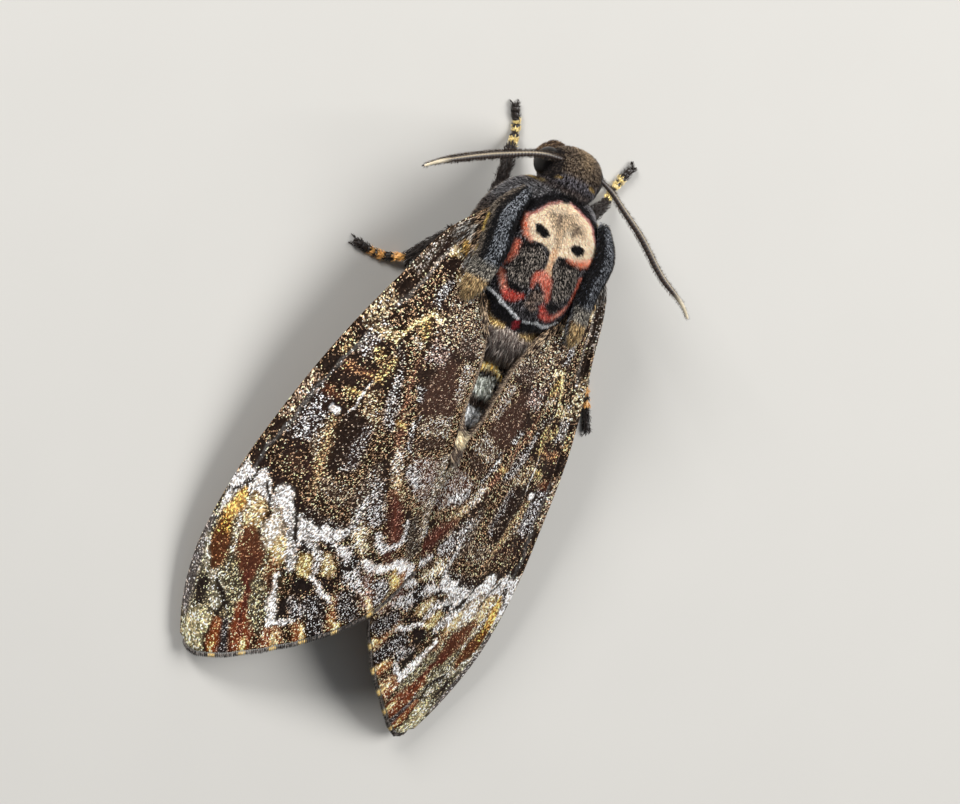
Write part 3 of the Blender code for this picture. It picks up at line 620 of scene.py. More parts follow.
def addLights(right, up, back):
    for name, (r, u, b), size, watts in studio["lights"]:
        data = bpy.data.lights.new(name, "AREA")
        data.shape, data.size, data.energy = "DISK", size, watts
        place = viewMiddle + right * r + up * u + back * b
        toward = unit(place - viewMiddle)
        aside = unit(np.cross((0.0, 0.0, 1.0), toward))
        addStanding(name, data, aside, np.cross(toward, aside), toward, place)
    world = bpy.data.worlds.new("softSky")
    world.use_nodes = True
    sky = world.node_tree.nodes["Background"]
    sky.inputs["Color"].default_value = (*hexLinear(studio["sky"][0]), 1)
    sky.inputs["Strength"].default_value = studio["sky"][1]
    bpy.context.scene.world = world
    bpy.context.scene.view_settings.view_transform = "Standard"


axes = addCamera()
addFloor()
addLights(*axes)
print("camera and studio ready")


# Wings

forewing = {
    "costa": ((6.6, -5.2, 11.0), (11.4, 0.5, 10.2), (14.0, 7.6, 8.9), (16.7, 16.0, 7.5), (19.0, 27.0, 5.4),
              (20.3, 38.5, 3.4), (20.0, 46.0, 2.2), (18.4, 52.2, 1.5), (16.7, 56.0, 1.3)),
    "margin": ((16.7, 56.0, 1.3), (15.0, 57.2, 1.8), (12.9, 56.7, 3.1), (10.2, 55.0, 4.8), (5.1, 50.8, 7.5),
               (0.0, 44.3, 10.2), (-2.5, 37.8, 11.1)),
    "inner": ((6.6, 4.4, 11.3), (4.7, 6.6, 12.3), (3.3, 8.6, 12.9), (2.6, 11.0, 13.15), (2.0, 14.8, 13.2),
              (1.6, 19.5, 13.05), (0.9, 22.4, 12.9), (0.4, 26.0, 12.6), (-0.6, 32.0, 11.9), (-2.5, 37.8, 11.1)),
    "camber": 0.9,
    "veins": ((0.045, 0.06, 0.97), (0.10, 0.06, 1.0), (0.213, 0.50, 1.0), (0.339, 0.52, 1.0),
              (0.459, 0.52, 1.0), (0.60, 0.05, 1.0), (0.765, 0.34, 1.0), (0.89, 0.06, 1.0)),  # t, s to s
    "crossVein": (0.10, 0.60, 0.51),  # from t, to t, s
    "grid": (250, 150),
    "length": 58.0, "chord": 25.0,  # the plane that the markings are drawn in
    "lapShift": 0.62,  # the left wing lies on the right one
    "fringe": 0.45,  # how far the fringe stands past the membrane
}
hindwing = {
    "costa": ((6.2, 2.6, 9.0), (10.6, 5.6, 8.7), (13.6, 12.0, 6.9), (15.2, 20.0, 5.0), (15.4, 27.0, 3.9),
              (14.2, 32.5, 3.7)),
    "margin": ((14.2, 32.5, 3.7), (11.0, 34.8, 5.1), (7.6, 34.2, 6.9), (5.2, 31.2, 8.3)),
    "inner": ((5.4, 6.6, 9.6), (6.5, 12.0, 9.6), (6.6, 20.0, 9.5), (6.2, 27.0, 8.7), (5.2, 31.2, 8.3)),
    "camber": 0.7,
    "veins": ((0.14, 0.08, 0.96), (0.38, 0.40, 1.0), (0.62, 0.08, 1.0), (0.86, 0.10, 0.97)),
    "crossVein": (0.14, 0.62, 0.42),
    "grid": (130, 80),
    "length": 32.0, "chord": 10.0,
    "lapShift": 0.0,
    "fringe": 0.4,
}
lap = {"start": 9.0, "full": 21.0, "reach": 7.5}  # where one forewing rides up over the other
membrane = {
    "thick": 0.28, "edge": 0.12, "edgeEase": 1.2,
    "costa": 0.5, "costaAt": 0.35, "costaEnd": (1.0, 0.85),  # the stiff front edge, thinner towards the tip
    "vein": 0.17, "veinHalf": 0.24, "veinBelow": 0.6, "pleat": 0.12,
    "crease": (1.6, 0.25, 0.16),  # long shallow creases: mm across, how drawn out, how high
    "grain": (0.5, 0.03),
}
wingMap = {"edge": 0.01, "wide": 0.475, "long": 0.98, "under": 0.505, "rim": (0.490, 0.500)}
wingPaint = {"ragged": (0.55, 0.5), "seeds": (11, 23), "below": (40.0, 0.0, 0.0)}  # top, then underside


def wingMiddle(wing, s, t, lift):  # the middle surface: s from root to margin, t from front to inner edge
    s, t = np.broadcast_arrays(s, t)
    sk, tk = s[..., None], t[..., None]
    edges = along(wing["costa"], s) * (1 - tk) + along(wing["inner"], s) * tk
    root = (wing["costa"][0], wing["inner"][0])
    ends = along(root, t) * (1 - sk) + along(wing["margin"], t) * sk
    corner = {(n, m): np.array(wing[edge][m], float)
              for n, edge in enumerate(("costa", "inner")) for m in (0, -1)}
    twice = ((corner[0, 0] * (1 - tk) + corner[1, 0] * tk) * (1 - sk)
             + (corner[0, -1] * (1 - tk) + corner[1, -1] * tk) * sk)
    points = edges + ends - twice
    points[..., 2] += wing["camber"] * np.sin(np.pi * t) * np.sin(np.pi * np.clip(s, 0, 1) ** 0.8)
    back = np.clip((points[..., 1] - lap["start"]) / (lap["full"] - lap["start"]), 0, 1)
    near = np.clip(1 - np.abs(points[..., 0]) / lap["reach"], 0, 1)
    points[..., 2] += lift * wing["lapShift"] * back * near * (2 - near)
    return points


def wingRelief(wing, s, t, chord):  # veins stand up, and the membrane dips between them
    veins, dip = np.zeros_like(s), np.zeros_like(s)
    for at, start, end in wing["veins"]:
        away = (t - at) * chord
        live = smooth(start - 0.04, start + 0.02, s) * smooth(end + 0.02, end - 0.03, s)
        veins = np.maximum(veins, live * np.exp(-(away / membrane["veinHalf"]) ** 2))
    near, far, station = wing["crossVein"]
    cross = np.exp(-((s - station) * wing["length"] / membrane["veinHalf"]) ** 2)
    veins = np.maximum(veins, cross * smooth(near - 0.01, near + 0.01, t) * smooth(far + 0.01, far - 0.01, t))
    lines = [0.0] + [vein[0] for vein in wing["veins"]] + [1.0]
    for low, high in zip(lines, lines[1:]):
        inside = (t >= low) & (t <= high)
        dip = np.where(inside, np.sin(np.pi * (t - low) / (high - low)) ** 2, dip)
    flat = np.stack([t * chord, s * wing["length"], np.zeros_like(s)], -1)
    cell, drawn, height = membrane["crease"]
    crease = softNoise(flat * (1.0, drawn, 1.0), cell, 31) - 0.5
    return veins * membrane["vein"], -dip * membrane["pleat"] + crease * height * smooth(0.02, 0.2, s)


# Each mark: ground colour, fleck colour, share of flecks, softness in mm, then either a brush stroke
# of (s, t, radius in mm) or an outline of (s, t); later marks cover earlier ones
whiteArch = ("#7c7670", "#fdfcf8", 0.9, 0.2)
zigzag = (
    ((0.65, 0), (0.655, 0.03), (0.648, 0.065), (0.66, 0.078), (0.68, 0.058), (0.7, 0.04), (0.735, 0.036),
     (0.758, 0.028), (0.735, 0.016), (0.71, 0.014), (0.7, 0)),
    ((0.656, 0.078), (0.64, 0.088), (0.632, 0.105), (0.643, 0.128), (0.655, 0.152), (0.668, 0.176),
     (0.685, 0.19), (0.703, 0.198), (0.698, 0.172), (0.686, 0.15), (0.68, 0.125), (0.684, 0.1),
     (0.69, 0.085), (0.676, 0.078)),
    ((0.662, 0.184), (0.652, 0.205), (0.658, 0.235), (0.673, 0.262), (0.698, 0.295), (0.728, 0.322),
     (0.752, 0.334), (0.742, 0.302), (0.722, 0.276), (0.708, 0.25), (0.697, 0.225), (0.708, 0.207),
     (0.685, 0.195)),
    ((0.706, 0.304), (0.712, 0.338), (0.72, 0.368), (0.733, 0.398), (0.74, 0.425), (0.752, 0.436),
     (0.762, 0.408), (0.778, 0.388), (0.768, 0.358), (0.745, 0.342), (0.726, 0.325)),
    ((0.757, 0.43), (0.742, 0.44), (0.73, 0.455), (0.74, 0.478), (0.75, 0.502), (0.764, 0.512),
     (0.777, 0.498), (0.772, 0.465), (0.768, 0.44)),
    ((0.748, 0.505), (0.745, 0.53), (0.75, 0.56), (0.742, 0.575), (0.765, 0.58), (0.777, 0.555),
     (0.772, 0.52)),
)
forewingBase = ("#26190f", "#c8a684", 0.38)
forewingMarks = (
    # basal third: cream and tan dust over brown, grey hair by the root
    ("#32211a", "#d6bc9c", 0.5, 1.2, ((0.15, 0.42), (0.28, 0.44), (0.28, 1), (0.1, 1))),
    ("#3f3129", "#b3a294", 0.3, 0.8, ((0.235, 0.7), (0.285, 0.7), (0.285, 0.93), (0.22, 0.93))),
    ("#4a3d32", "#b8b4ad", 0.48, 0.6, ((0.06, 0.02), (0.21, 0.02), (0.2, 0.1), (0.11, 0.17), (0.06, 0.16))),
    ("#53453a", "#bab6af", 0.52, 0.6, ((0.03, 0.32), (0.13, 0.34), (0.14, 0.6), (0.05, 0.66))),
    ("#7a6446", "#dccaa6", 0.58, 0.4, ((0.148, 0.39, 0.5), (0.145, 0.5, 0.6), (0.13, 0.6, 0.6),
        (0.1, 0.7, 0.5))),
    ("#2c1f19", "#9a8772", 0.11, 0.4, ((0.1, 0.34), (0.125, 0.24), (0.155, 0.2), (0.17, 0.24),
        (0.14, 0.33))),
    ("#2d201a", "#87796b", 0.09, 0.3, ((0.12, 0.09, 0.6), (0.145, 0.115, 0.5), (0.18, 0.105, 0.3))),
    ("#8e7649", "#e8daad", 0.62, 0.3, ((0.115, 0.19, 0.35), (0.108, 0.25, 0.4), (0.102, 0.32, 0.3))),
    ("#675f58", "#c3bbaf", 0.42, 0.25, ((0.12, 0.15, 0.4), (0.17, 0.155, 0.4), (0.22, 0.145, 0.35),
        (0.27, 0.12, 0.3))),
    ("#7a746c", "#efe9df", 0.74, 0.3, ((0.058, 0.12, 0.4), (0.066, 0.19, 0.45), (0.072, 0.23, 0.3))),
    ("#a07838", "#f2cc7c", 0.78, 0.25, ((0.085, 0.2, 0.3), (0.083, 0.26, 0.4), (0.085, 0.31, 0.35))),
    ("#a88850", "#f2e2b4", 0.78, 0.25, ((0.122, 0.18, 0.45), (0.118, 0.24, 0.4), (0.11, 0.3, 0.35))),
    ("#2a1d16", None, 0.05, 0.3, ((0.15, 0.19), (0.128, 0.26), (0.118, 0.33), (0.145, 0.31),
        (0.152, 0.25))),
    ("#a07838", "#f0c878", 0.74, 0.25, ((0.03, 0.17, 0.3), (0.028, 0.24, 0.35))),
    # costal blotches, dark and cream in turn
    ("#463325", "#d6c29c", 0.58, 0.4, ((0.255, 0), (0.335, 0), (0.333, 0.12), (0.26, 0.125))),
    ("#2c2019", "#87796b", 0.07, 0.3, ((0.222, 0.02), (0.25, 0.02), (0.252, 0.13), (0.205, 0.13),
        (0.218, 0.08))),
    ("#2c1f19", None, 0.06, 0.25, ((0.338, 0.015, 0.35), (0.342, 0.09, 0.4))),
    ("#3a2b1f", "#c7aa7b", 0.48, 0.3, ((0.358, 0.02), (0.398, 0.02), (0.395, 0.085), (0.358, 0.085))),
    ("#2b1f19", None, 0.06, 0.25, ((0.405, 0.012), (0.442, 0.012), (0.432, 0.075), (0.4, 0.08))),
    ("#443125", "#d2b89c", 0.56, 0.3, ((0.45, 0), (0.553, 0), (0.55, 0.055), (0.45, 0.065))),
    ("#2f211a", None, 0.07, 0.25, ((0.556, 0.008), (0.588, 0.008), (0.588, 0.045), (0.556, 0.045))),
    ("#3d2c22", "#c7aa86", 0.52, 0.25, ((0.592, 0), (0.602, 0), (0.602, 0.04), (0.592, 0.04))),
    ("#2d211a", None, 0.07, 0.25, ((0.605, 0.008), (0.648, 0.008), (0.645, 0.04), (0.605, 0.045))),
    # grey-white dust behind the front edge
    ("#3a2c25", "#d8d3ce", 0.5, 0.6, ((0.3, 0.12), (0.375, 0.1), (0.375, 0.2), (0.31, 0.18))),
    ("#332520", "#e3e3e5", 0.5, 0.6, ((0.455, 0.09), (0.56, 0.08), (0.565, 0.15), (0.56, 0.21),
        (0.47, 0.17))),
    ("#5f5a56", "#b5b0a9", 0.3, 0.15, ((0.34, 0.102, 0.2), (0.42, 0.084, 0.24), (0.46, 0.073, 0.2),
        (0.56, 0.065, 0.18), (0.65, 0.042, 0.2))),
    # cell: gold, rust and dark uprights
    ("#5c472a", "#e2cca0", 0.7, 0.35, ((0.323, 0.13, 0.5), (0.322, 0.2, 0.5), (0.318, 0.27, 0.45))),
    ("#442e1d", "#d9b67a", 0.54, 0.4, ((0.352, 0.2, 0.5), (0.37, 0.26, 0.6))),
    ("#2d201a", None, 0.11, 0.3, ((0.34, 0.19, 0.25), (0.338, 0.26, 0.25))),
    ("#2d211a", None, 0.14, 0.3, ((0.388, 0.13, 0.35), (0.388, 0.27, 0.35))),
    ("#4a2e24", "#cc9a6c", 0.48, 0.45, ((0.403, 0.12, 0.5), (0.408, 0.2, 0.55), (0.405, 0.29, 0.5))),
    ("#2d201a", None, 0.07, 0.35, ((0.432, 0.11, 0.8), (0.43, 0.17, 0.65), (0.428, 0.27, 0.4))),
    ("#4b2b1e", "#c0916c", 0.3, 0.5, ((0.462, 0.12, 0.6), (0.468, 0.19, 0.5))),
    ("#4f3a24", "#dfbf7b", 0.62, 0.3, ((0.445, 0.21, 0.35), (0.443, 0.275, 0.35))),
    ("#2c1f19", None, 0.09, 0.4, ((0.485, 0.165, 0.55), (0.475, 0.22, 0.5), (0.485, 0.265, 0.5))),
    # gold rim of the basal field
    ("#332824", "#dadddf", 0.54, 0.5, ((0.15, 0.33), (0.2, 0.29), (0.222, 0.33), (0.222, 0.39),
        (0.17, 0.4))),
    ("#2d1f19", None, 0.09, 0.35, ((0.232, 0.27, 0.4), (0.226, 0.33, 0.35), (0.228, 0.38, 0.3))),
    ("#2c1e18", None, 0.07, 0.35, ((0.207, 0.4, 0.5), (0.212, 0.46, 0.5))),
    ("#503c26", "#ccaa70", 0.54, 0.5, ((0.265, 0.37, 0.9), (0.285, 0.42, 0.7))),
    ("#785d36", "#ebd69a", 0.77, 0.3, ((0.24, 0.37, 0.4), (0.257, 0.335, 0.5), (0.272, 0.305, 0.45),
        (0.3, 0.275, 0.4), (0.325, 0.27, 0.3))),
    ("#806539", "#eedeaf", 0.73, 0.3, ((0.238, 0.4, 0.35), (0.243, 0.465, 0.4))),
    ("#6e5a44", "#ede0c8", 0.69, 0.3, ((0.303, 0.37, 0.3), (0.31, 0.44, 0.4))),
    ("#2f211a", "#b3aea5", 0.26, 0.5, ((0.325, 0.3, 0.4), (0.345, 0.35, 0.7), (0.36, 0.39, 0.5))),
    ("#44301e", "#ccac74", 0.52, 0.5, ((0.365, 0.33, 0.8), (0.41, 0.33, 0.8))),
    ("#2c2019", None, 0.1, 0.4, ((0.375, 0.385, 0.4), (0.42, 0.375, 0.5), (0.428, 0.33, 0.4))),
    ("#4a3324", "#dac29c", 0.48, 0.6, ((0.443, 0.33, 0.7), (0.47, 0.37, 0.8), (0.485, 0.44, 0.9))),
    ("#2f211c", "#dcdad6", 0.5, 0.5, ((0.375, 0.41, 0.5), (0.42, 0.45, 0.9), (0.47, 0.5, 0.9),
        (0.5, 0.53, 0.5))),
    ("#33261f", "#eeede9", 0.76, 0.2, ((0.42, 0.3, 0.2), (0.455, 0.293, 0.25), (0.49, 0.28, 0.2))),
    # dark disc, white spot, gold ray
    ("#2c1f18", "#a39688", 0.09, 0.6, ((0.485, 0.28), (0.55, 0.285), (0.6, 0.32), (0.62, 0.38), (0.55, 0.4),
        (0.49, 0.38), (0.475, 0.32))),
    ("#342621", "#d7d5d3", 0.34, 0.7, ((0.51, 0.41, 0.6), (0.56, 0.42, 0.9), (0.6, 0.43, 0.6))),
    ("#483527", "#ead9bb", 0.5, 0.6, ((0.505, 0.19), (0.56, 0.2), (0.6, 0.25), (0.58, 0.27), (0.52, 0.25))),
    ("#4e3826", "#d2ac80", 0.56, 0.6, ((0.512, 0.235, 0.5), (0.56, 0.27, 0.7), (0.61, 0.3, 0.7),
        (0.65, 0.34, 0.7))),
    ("#2c1f1a", None, 0.11, 0.5, ((0.575, 0.11, 0.9), (0.585, 0.15, 1), (0.6, 0.13, 0.7))),
    ("#34211d", None, 0.14, 0.5, ((0.6, 0.235, 0.4), (0.64, 0.275, 0.5))),
    ("#3c291f", "#c7a586", 0.35, 0.5, ((0.605, 0.17, 0.8), (0.62, 0.215, 0.6))),
    ("#2b1e19", None, 0.09, 0.5, ((0.632, 0.075, 0.7), (0.635, 0.11, 0.5), (0.645, 0.17, 0.6),
        (0.655, 0.2, 0.7), (0.672, 0.25, 0.7), (0.7, 0.31, 0.7))),
    ("#2c201a", "#b3b0a9", 0.2, 0.6, ((0.715, 0.345, 0.9), (0.735, 0.4, 1), (0.735, 0.46, 1),
        (0.745, 0.51, 0.9))),
    ("#3b2b22", "#cfbda1", 0.42, 0.8, ((0.64, 0.37, 1), (0.66, 0.43, 1.2), (0.67, 0.48, 1))),
    # rust ray through the middle, and the plain brown field behind it
    ("#453027", "#a8937f", 0.12, 0.9, ((0.34, 0.58), (0.42, 0.62), (0.46, 0.68), (0.46, 0.9), (0.4, 0.92),
        (0.34, 0.8), (0.285, 0.74), (0.29, 0.6))),
    ("#31241e", None, 0.09, 0.5, ((0.295, 0.48, 0.5), (0.3, 0.6, 0.6), (0.295, 0.8, 0.6),
        (0.285, 0.9, 0.6))),
    ("#32241d", None, 0.1, 0.5, ((0.35, 0.51, 0.6), (0.37, 0.56, 0.9), (0.35, 0.6, 0.7))),
    ("#3d2820", "#e1cec1", 0.59, 0.4, ((0.318, 0.52, 0.5), (0.322, 0.6, 0.4), (0.328, 0.66, 0.3))),
    ("#3c2a26", "#d0b8ac", 0.48, 0.7, ((0.275, 0.5), (0.33, 0.5), (0.335, 0.66), (0.29, 0.68))),
    ("#4e3024", "#cc9c7e", 0.44, 0.4, ((0.335, 0.465, 0.25), (0.4, 0.52, 0.4), (0.46, 0.568, 0.45),
        (0.52, 0.608, 0.5), (0.575, 0.645, 0.4))),
    ("#724f29", "#e7c77f", 0.63, 0.3, ((0.483, 0.565, 0.45), (0.492, 0.6, 0.4))),
    ("#483124", "#e9d7be", 0.66, 0.5, ((0.555, 0.645, 0.6), (0.6, 0.665, 0.7), (0.63, 0.695, 0.6))),
    ("#2f231e", "#ecebe7", 0.48, 0.3, ((0.39, 0.575, 0.4), (0.4, 0.61, 0.5), (0.42, 0.625, 0.4))),
    ("#332620", "#eeebe7", 0.46, 0.3, ((0.465, 0.675, 0.3), (0.5, 0.655, 0.4), (0.52, 0.675, 0.4),
        (0.55, 0.69, 0.3))),
    ("#443025", "#e3d1b5", 0.47, 0.7, ((0.455, 0.7), (0.505, 0.7), (0.53, 0.92), (0.46, 0.92))),
    ("#3b2b22", "#b29e8b", 0.17, 0.6, ((0.52, 0.71), (0.55, 0.72), (0.56, 0.9), (0.53, 0.9))),
    ("#482e24", "#e5d0c0", 0.44, 0.8, ((0.565, 0.72), (0.63, 0.76), (0.7, 0.86), (0.76, 0.95),
        (0.6, 0.95))),
    ("#422e25", "#e8d5bb", 0.52, 0.6, ((0.3, 0.83), (0.4, 0.84), (0.43, 0.94), (0.31, 0.95))),
    ("#3b2c24", "#c2b4a2", 0.4, 0.6, ((0.6, 0.58, 0.8), (0.66, 0.56, 0.9), (0.7, 0.55, 0.6))),
    ("#2d211a", None, 0.17, 0.5, ((0.56, 0.6, 0.4), (0.62, 0.63, 0.6), (0.66, 0.665, 0.5))),
    # beyond the zigzag: olive tip, then a gold to brown lobe in every cell
    ("#4a4236", "#c6bc96", 0.52, 0.9, ((0.69, 0), (1, 0), (1, 0.15), (0.9, 0.17), (0.78, 0.13),
        (0.7, 0.08))),
    ("#4a4032", "#ccc298", 0.52, 0.9, ((0.7, 0.1), (0.86, 0.13), (0.95, 0.18), (0.96, 0.34), (0.8, 0.3))),
    ("#5a524e", "#a8a4a0", 0.46, 0.4, ((0.77, 0.008, 0.5), (0.86, 0.015, 0.8), (0.94, 0.03, 0.7))),
    ("#847a58", "#e2d6a8", 0.74, 0.4, ((0.93, 0.1, 0.9), (0.96, 0.075, 1.1), (0.995, 0.06, 1.1))),
    ("#7e755c", "#e8e2cd", 0.66, 0.4, ((0.8, 0.035, 0.4), (0.835, 0.075, 0.5), (0.85, 0.12, 0.5),
        (0.87, 0.145, 0.5), (0.9, 0.155, 0.4))),
    ("#5c4a34", "#e8dcc0", 0.72, 0.3, ((0.68, 0.105, 0.3), (0.72, 0.106, 0.35), (0.76, 0.125, 0.35),
        (0.8, 0.15, 0.3))),
    ("#a8702c", "#f2c070", 0.79, 0.3, ((0.682, 0.066), (0.7, 0.046), (0.735, 0.044), (0.752, 0.06),
        (0.745, 0.088), (0.715, 0.098), (0.695, 0.09))),
    ("#643a1c", "#e0a858", 0.5, 0.35, ((0.74, 0.044), (0.78, 0.045), (0.8, 0.06), (0.81, 0.11),
        (0.77, 0.108), (0.745, 0.095))),
    ("#5e3620", "#c08860", 0.14, 0.3, ((0.78, 0.05), (0.81, 0.06), (0.835, 0.09), (0.828, 0.132),
        (0.8, 0.13), (0.775, 0.105))),
    ("#9c7440", "#f2dca8", 0.8, 0.4, ((0.68, 0.115), (0.72, 0.118), (0.755, 0.145), (0.76, 0.195),
        (0.73, 0.195), (0.695, 0.165))),
    ("#643a26", "#d09c78", 0.24, 0.4, ((0.755, 0.135), (0.8, 0.16), (0.84, 0.205), (0.857, 0.262),
        (0.83, 0.268), (0.79, 0.25), (0.76, 0.215), (0.745, 0.17))),
    ("#5a3222", "#b88868", 0.12, 0.3, ((0.8, 0.19), (0.83, 0.2), (0.852, 0.235), (0.852, 0.262),
        (0.82, 0.262), (0.795, 0.235))),
    ("#2e2420", None, 0.07, 0.35, ((0.865, 0.085, 0.55), (0.9, 0.085, 0.55))),
    ("#2a211c", None, 0.12, 0.15, ((0.855, 0.125, 0.2), (0.875, 0.15, 0.25), (0.9, 0.175, 0.3))),
    ("#a89478", "#fbf4e2", 0.84, 0.4, ((0.7, 0.215), (0.74, 0.215), (0.785, 0.25), (0.79, 0.3),
        (0.755, 0.3), (0.72, 0.265))),
    ("#a07c40", "#f8e0a8", 0.84, 0.35, ((0.76, 0.275), (0.79, 0.27), (0.825, 0.31), (0.815, 0.35),
        (0.785, 0.345), (0.76, 0.32))),
    ("#6a4228", "#e8b890", 0.42, 0.35, ((0.8, 0.28), (0.84, 0.295), (0.88, 0.325), (0.885, 0.345),
        (0.85, 0.35), (0.82, 0.335))),
    ("#40281c", None, 0.08, 0.2, ((0.845, 0.322, 0.25), (0.872, 0.332, 0.3))),
    # outer margin: rust wedges, each with a gold vein end
    ("#2a201a", None, 0.05, 0.12, ((0.905, 0.172, 0.2), (0.925, 0.15, 0.2), (0.95, 0.134, 0.2),
        (1, 0.13, 0.25))),
    ("#84401f", "#f0ac7c", 0.36, 0.3, ((0.935, 0.16, 0.5), (0.97, 0.158, 0.6), (1, 0.158, 0.7))),
    ("#c08937", "#f6df9b", 0.92, 0.15, ((0.972, 0.152, 0.14), (1, 0.152, 0.26))),
    ("#332c2a", "#b4b0b0", 0.35, 0.3, ((0.93, 0.195, 0.4), (1, 0.195, 0.5))),
    ("#7e3c22", "#f0b48c", 0.36, 0.35, ((0.9, 0.235, 0.4), (0.94, 0.25, 0.8), (1, 0.262, 0.9))),
    ("#5a2c20", "#c88c70", 0.18, 0.15, ((0.84, 0.238, 0.25), (0.9, 0.247, 0.25), (0.96, 0.252, 0.2))),
    ("#c08937", "#f6df9b", 0.92, 0.15, ((0.962, 0.262, 0.18), (1, 0.264, 0.32))),
    ("#7a7468", "#fbfaf4", 0.93, 0.3, ((0.84, 0.345, 0.25), (0.87, 0.352, 0.3), (0.905, 0.35, 0.42),
        (0.94, 0.365, 0.5))),
    ("#3a2c1c", None, 0.08, 0.2, ((0.85, 0.368, 0.2), (0.88, 0.374, 0.28))),
    ("#7c4028", "#f4c49c", 0.51, 0.3, ((0.955, 0.345, 0.5), (1, 0.35, 0.6))),
    ("#844a2a", "#f4cc9c", 0.53, 0.3, ((0.958, 0.385, 0.5), (1, 0.387, 0.6))),
    ("#c79644", "#f6e3ab", 0.92, 0.15, ((0.965, 0.374, 0.18), (1, 0.378, 0.3))),
    ("#241c18", None, 0.1, 0.35, ((0.905, 0.395, 0.45), (0.935, 0.4, 0.5))),
    ("#8e6c34", "#f2dc9c", 0.72, 0.35, ((0.8, 0.405), (0.83, 0.405), (0.853, 0.44), (0.85, 0.475),
        (0.82, 0.475), (0.8, 0.44))),
    ("#231a17", None, 0.05, 0.3, ((0.848, 0.405), (0.87, 0.412), (0.89, 0.45), (0.895, 0.485), (0.875, 0.5),
        (0.86, 0.47))),
    ("#2a221f", "#e0dedc", 0.48, 0.4, ((0.9, 0.425, 0.6), (0.93, 0.46, 0.6), (0.915, 0.49, 0.5))),
    ("#423b37", "#f6f5f2", 0.9, 0.25, ((0.943, 0.4, 0.4), (0.947, 0.435, 0.3))),
    ("#824426", "#f4bc8c", 0.48, 0.3, ((0.955, 0.465, 0.35), (1, 0.468, 0.45))),
    ("#c49141", "#f6e0a3", 0.92, 0.15, ((0.962, 0.484, 0.18), (1, 0.488, 0.3))),
    ("#8e6c38", "#f2dca8", 0.72, 0.35, ((0.8, 0.505), (0.825, 0.505), (0.86, 0.545), (0.868, 0.58),
        (0.84, 0.578), (0.81, 0.545))),
    ("#241b17", None, 0.1, 0.3, ((0.865, 0.53, 0.4), (0.885, 0.555, 0.55), (0.895, 0.58, 0.3))),
    ("#241c19", "#dcdad8", 0.3, 0.4, ((0.91, 0.51, 0.7), (0.945, 0.53, 0.8), (0.99, 0.53, 0.8))),
    ("#403830", "#f6f5f2", 0.9, 0.25, ((0.85, 0.48, 0.22), (0.885, 0.52, 0.3), (0.905, 0.56, 0.35),
        (0.92, 0.578, 0.3))),
    ("#7c4428", "#f2c090", 0.53, 0.3, ((0.915, 0.592, 0.25), (0.96, 0.598, 0.4), (1, 0.605, 0.45))),
    ("#c0903e", "#f6e0a0", 0.92, 0.15, ((0.965, 0.602, 0.2), (1, 0.61, 0.32))),
    # whitish clouds towards the hind corner
    ("#362a24", "#eeecea", 0.52, 0.7, ((0.64, 0.61, 0.7), (0.7, 0.645, 0.9), (0.74, 0.68, 0.7))),
    ("#5c4630", "#f0deb8", 0.72, 0.5, ((0.745, 0.61, 0.6), (0.79, 0.65, 0.8), (0.81, 0.68, 0.4))),
    ("#362d28", "#f4f3f1", 0.7, 0.5, ((0.8, 0.6, 0.5), (0.86, 0.645, 0.7), (0.89, 0.67, 0.7),
        (0.92, 0.7, 0.5))),
    ("#241b17", None, 0.08, 0.3, ((0.82, 0.648, 0.35), (0.85, 0.638, 0.4))),
    ("#241b17", None, 0.1, 0.3, ((0.845, 0.61, 0.35), (0.87, 0.6, 0.35))),
    ("#241b17", "#dcdad8", 0.32, 0.4, ((0.92, 0.63, 0.7), (0.95, 0.655, 0.7), (0.98, 0.67, 0.6))),
    ("#3c2c20", "#c1a489", 0.2, 0.3, ((0.78, 0.7, 0.4), (0.8, 0.7, 0.35))),
    ("#5a3a2c", "#dcc0b4", 0.51, 0.5, ((0.89, 0.72, 0.6), (0.96, 0.735, 0.8))),
    ("#b2843e", "#f6dc9e", 0.9, 0.2, ((0.945, 0.732, 0.2), (0.985, 0.75, 0.28))),
    ("#6a4a2c", "#f0d4a8", 0.72, 0.5, ((0.62, 0.695, 0.5), (0.66, 0.715, 0.6), (0.69, 0.75, 0.5))),
    ("#40342e", "#f4f2f0", 0.56, 0.4, ((0.6, 0.745, 0.5), (0.63, 0.785, 0.7), (0.665, 0.84, 0.5))),
    ("#4c2a22", "#b07c6c", 0.2, 0.8, ((0.66, 0.705, 0.3), (0.73, 0.762, 0.85), (0.77, 0.785, 0.9),
        (0.81, 0.82, 0.8), (0.826, 0.842, 0.4))),
    ("#693a2c", None, 0.02, 0.1, ((0.695, 0.735, 0.1), (0.75, 0.77, 0.12), (0.8, 0.8, 0.1))),
    ("#2e241e", None, 0.1, 0.4, ((0.745, 0.845, 0.4), (0.78, 0.86, 0.5))),
    ("#362f2c", "#f6f5f3", 0.75, 0.35, ((0.775, 0.715, 0.3), (0.8, 0.735, 0.4), (0.83, 0.78, 0.5),
        (0.845, 0.83, 0.5), (0.835, 0.865, 0.5), (0.8, 0.872, 0.4), (0.775, 0.86, 0.35))),
    ("#241b17", None, 0.1, 0.35, ((0.835, 0.725, 0.4), (0.865, 0.76, 0.5))),
    ("#4b2c24", None, 0.12, 0.35, ((0.85, 0.79, 0.4), (0.875, 0.82, 0.6))),
    ("#48403a", "#fbf9f6", 0.9, 0.35, ((0.84, 0.685, 0.35), (0.865, 0.725, 0.5), (0.885, 0.78, 0.5),
        (0.895, 0.84, 0.55), (0.915, 0.885, 0.6), (0.955, 0.93, 0.6), (0.99, 0.955, 0.6))),
    ("#342c2a", "#f0eeec", 0.52, 0.4, ((0.92, 0.775, 0.6), (0.95, 0.8, 0.8), (0.975, 0.79, 0.6))),
